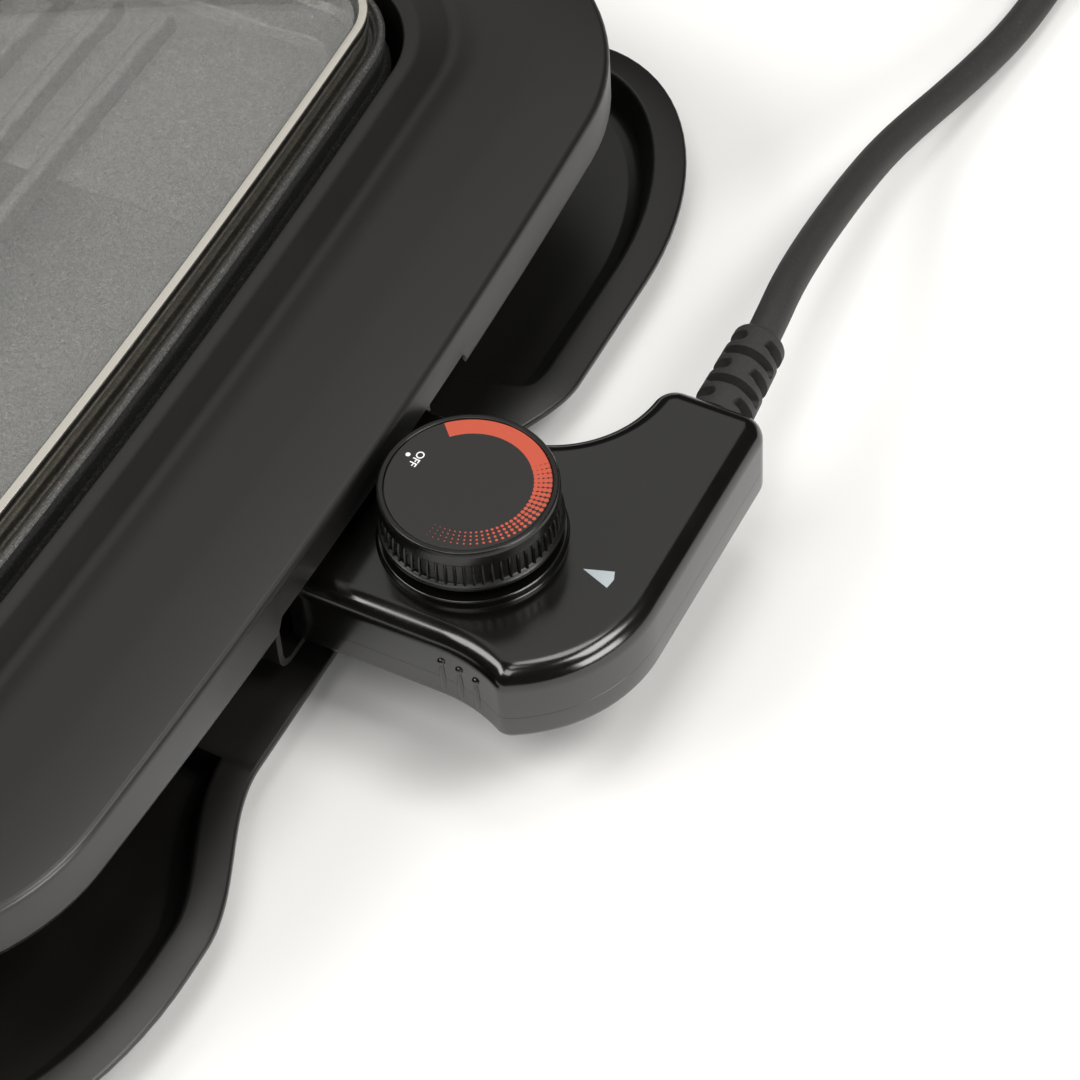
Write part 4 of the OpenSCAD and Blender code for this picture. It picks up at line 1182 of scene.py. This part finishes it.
def buildDial(settings):
    low, height, radius = settings["low"], settings["height"], settings["radius"]
    discRadius, seat = settings["discRadius"], height - settings["sink"]
    bm = bmesh.new()
    profile = roundCorners([
        (0, 0.4, 0), (19.2, 0.4, 0), (19.6, 0, 0.3), (20.6, 0, 0.3), (20.6, 1.1, 0.5), (19.5, 1.5, 0.3),
        (19.35, 7.4, 0.4), (20.0, 8.0, 0.7), (radius, height - 1.0, 1.5), (radius - 0.4, height, 0.5),
        (discRadius + 0.05, height, 0.25), (discRadius, seat, 0), (0, seat, 0),
    ], closed=False)
    spinProfile(bm, profile, (*dialCentre, low), steps=192)
    # finger ribs round the lower half, which fade upwards
    outline = arcPoints((0, 0), 1.0, -90, 90, 6)
    top, proud, half = settings["ribTop"], settings["ribProud"], settings["ribHalf"]
    for k in range(settings["ribs"]):
        turn = math.tau * k / settings["ribs"]
        outward = Vector((math.cos(turn), math.sin(turn), 0))
        along = Vector((-math.sin(turn), math.cos(turn), 0))
        rings = []
        for z, size in ((1.3, 1.0), (top - 2.4, 0.95), (top - 0.9, 0.7), (top, 0.25)):
            foot = Vector((*dialCentre, low + z)) + outward * settings["ribFoot"]
            rings.append([foot + outward * (u * proud * size) + along * (v * half * size) for u, v in outline])
        loftRings(bm, rings)
    finishPiece("dialGrip", bm, "dial", gripPhenolic, ["dial_knob"], sharpAngle=40)

    bm = bmesh.new()
    thick = settings["discThickness"]
    spinProfile(bm, [(0, 0.04), (0, thick), (discRadius - 0.25, thick), (discRadius - 0.1, thick - 0.1),
                     (discRadius - 0.1, 0.04), (0, 0.04)], (*dialCentre, low + seat), steps=160)
    finishPiece("dialDisc", bm, "dial", foil, ["dial_label"])
    return low + seat + thick


def printWord(text, settings, height):
    # a word set along the dial's edge, with its letters' tops towards the middle, and a dot beyond it
    size = settings["wordSize"] * millimetre
    curve = bpy.data.curves.new("wordCurve", "FONT")
    curve.body = text
    curve.size = size
    curve.align_x = curve.align_y = "CENTER"
    curve.extrude = 0.00001
    curve.offset = size * 0.012
    word = bpy.data.objects.new("wordCurve", curve)
    scene.collection.objects.link(word)
    bpy.context.view_layer.update()
    mesh = bpy.data.meshes.new_from_object(word)
    bpy.data.objects.remove(word)
    turn = math.radians(settings["offAngle"])
    away = Vector((math.cos(turn), math.sin(turn), 0))
    middle = Vector((*dialCentre, height))
    spot = (middle + away * settings["wordRadius"] + Vector((0, 0, 0.02))) * millimetre
    mesh.transform(Matrix.Translation(spot) @ Matrix.Rotation(turn + math.pi / 2, 4, "Z"))
    mesh.name = "offWord"
    mesh.materials.clear()
    mesh.materials.append(whiteInk)
    piece = bpy.data.objects.new("offWord", mesh)
    scene.collection.objects.link(piece)
    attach(piece, "dial")
    bm = bmesh.new()
    spot = middle + away * settings["markRadius"] + Vector((0, 0, 0.01))
    spinProfile(bm, [(0, 0), (0.55, 0), (0.55, 0.03), (0, 0.03)], spot, steps=32)
    finishPiece("offMark", bm, "dial", whiteInk)


discTop = buildDial(dialSettings)
printWord("OFF", dialSettings, discTop)
refineNode("dial_spindle", "dial", steel)
print("dial made")


# floor and light
lightSettings = {
    "floor": "#fbfbfa",
    "floorHalf": 4.0,
    "lampColor": (1.0, 0.99, 0.968),
    "worldDim": 0.04,  # the unlit part of the studio
    "fade": (0.75, 1.35),  # from here to here, in metres, the floor turns plain white
    "distance": 1.6,
    "aim": (0.22, 0.0, 0.05),
    "lamps": {
        # name: (azimuth from +X, elevation, width, height, radiance)
        "right": (-8, 20, 0.75, 0.60, 9.6),
        "rightHigh": (10, 57, 0.66, 0.55, 9.4),
        "top": (240, 84, 0.34, 0.30, 3.6),
        "back": (122, 53, 1.60, 1.00, 0.62),
        "backHigh": (90, 75, 0.55, 0.40, 5.2),
        "front": (266, 61, 0.70, 0.56, 4.7),
        "left": (216, 47, 0.92, 0.52, 6.8),
    },
}


def buildStage(settings):
    bm = bmesh.new()
    bmesh.ops.create_grid(bm, x_segments=1, y_segments=1, size=settings["floorHalf"])
    mesh = bpy.data.meshes.new("floorSheet")
    bm.to_mesh(mesh)
    bm.free()
    # coated paper sweep: white and matt
    material, tree, shader, place = startMaterial("paperSweep", settings["floor"], 0.7)
    addBump(tree, shader, addNoise(tree, place, 0.9, 3.0), 0.1, 0.0001)
    # beyond the lamps' reach the sheet is white to the camera alone, and sends no light to the part
    reach = addNode(tree, "ShaderNodeVectorMath", {"operation": "LENGTH"}, {0: place})
    fadeFrom, fadeTo = settings["fade"]
    fade = addNode(tree, "ShaderNodeMapRange", {"interpolation_type": "SMOOTHSTEP"},
                   {"Value": reach.outputs["Value"], "From Min": fadeFrom, "From Max": fadeTo})
    path = addNode(tree, "ShaderNodeLightPath")
    glow = addNode(tree, "ShaderNodeMath", {"operation": "MULTIPLY"},
                   {0: fade.outputs["Result"], 1: path.outputs["Is Camera Ray"]})
    shader.inputs["Emission Color"].default_value = (1, 1, 1, 1)
    tree.links.new(glow.outputs[0], shader.inputs["Emission Strength"])
    mesh.materials.append(material)
    floor = bpy.data.objects.new("floorSheet", mesh)
    scene.collection.objects.link(floor)

    world = bpy.data.worlds.new("studio")
    scene.world = world
    world.use_nodes = True
    tree = world.node_tree
    back = tree.nodes["Background"]
    back.inputs["Color"].default_value = (1, 1, 1, 1)
    path = addNode(tree, "ShaderNodeLightPath")
    seen = addNode(tree, "ShaderNodeMath", {"operation": "MAXIMUM"},
                   {0: path.outputs["Is Camera Ray"], 1: path.outputs["Is Transmission Ray"]})
    tree.links.new(addRange(tree, seen.outputs[0], settings["worldDim"], 1.0), back.inputs["Strength"])

    aim = Vector(settings["aim"])
    for name, (azimuth, elevation, width, height, radiance) in settings["lamps"].items():
        data = bpy.data.lights.new(name, "AREA")
        data.shape = "RECTANGLE"
        data.color = settings["lampColor"]
        data.size = width
        data.size_y = height
        data.energy = radiance * math.pi * width * height
        lamp = bpy.data.objects.new(name, data)
        turn, rise = math.radians(azimuth), math.radians(elevation)
        direction = Vector((math.cos(turn) * math.cos(rise), math.sin(turn) * math.cos(rise), math.sin(rise)))
        lamp.location = aim + direction * settings["distance"]
        lamp.rotation_euler = (-direction).to_track_quat("-Z", "Y").to_euler()
        scene.collection.objects.link(lamp)


buildStage(lightSettings)
print("stage made")
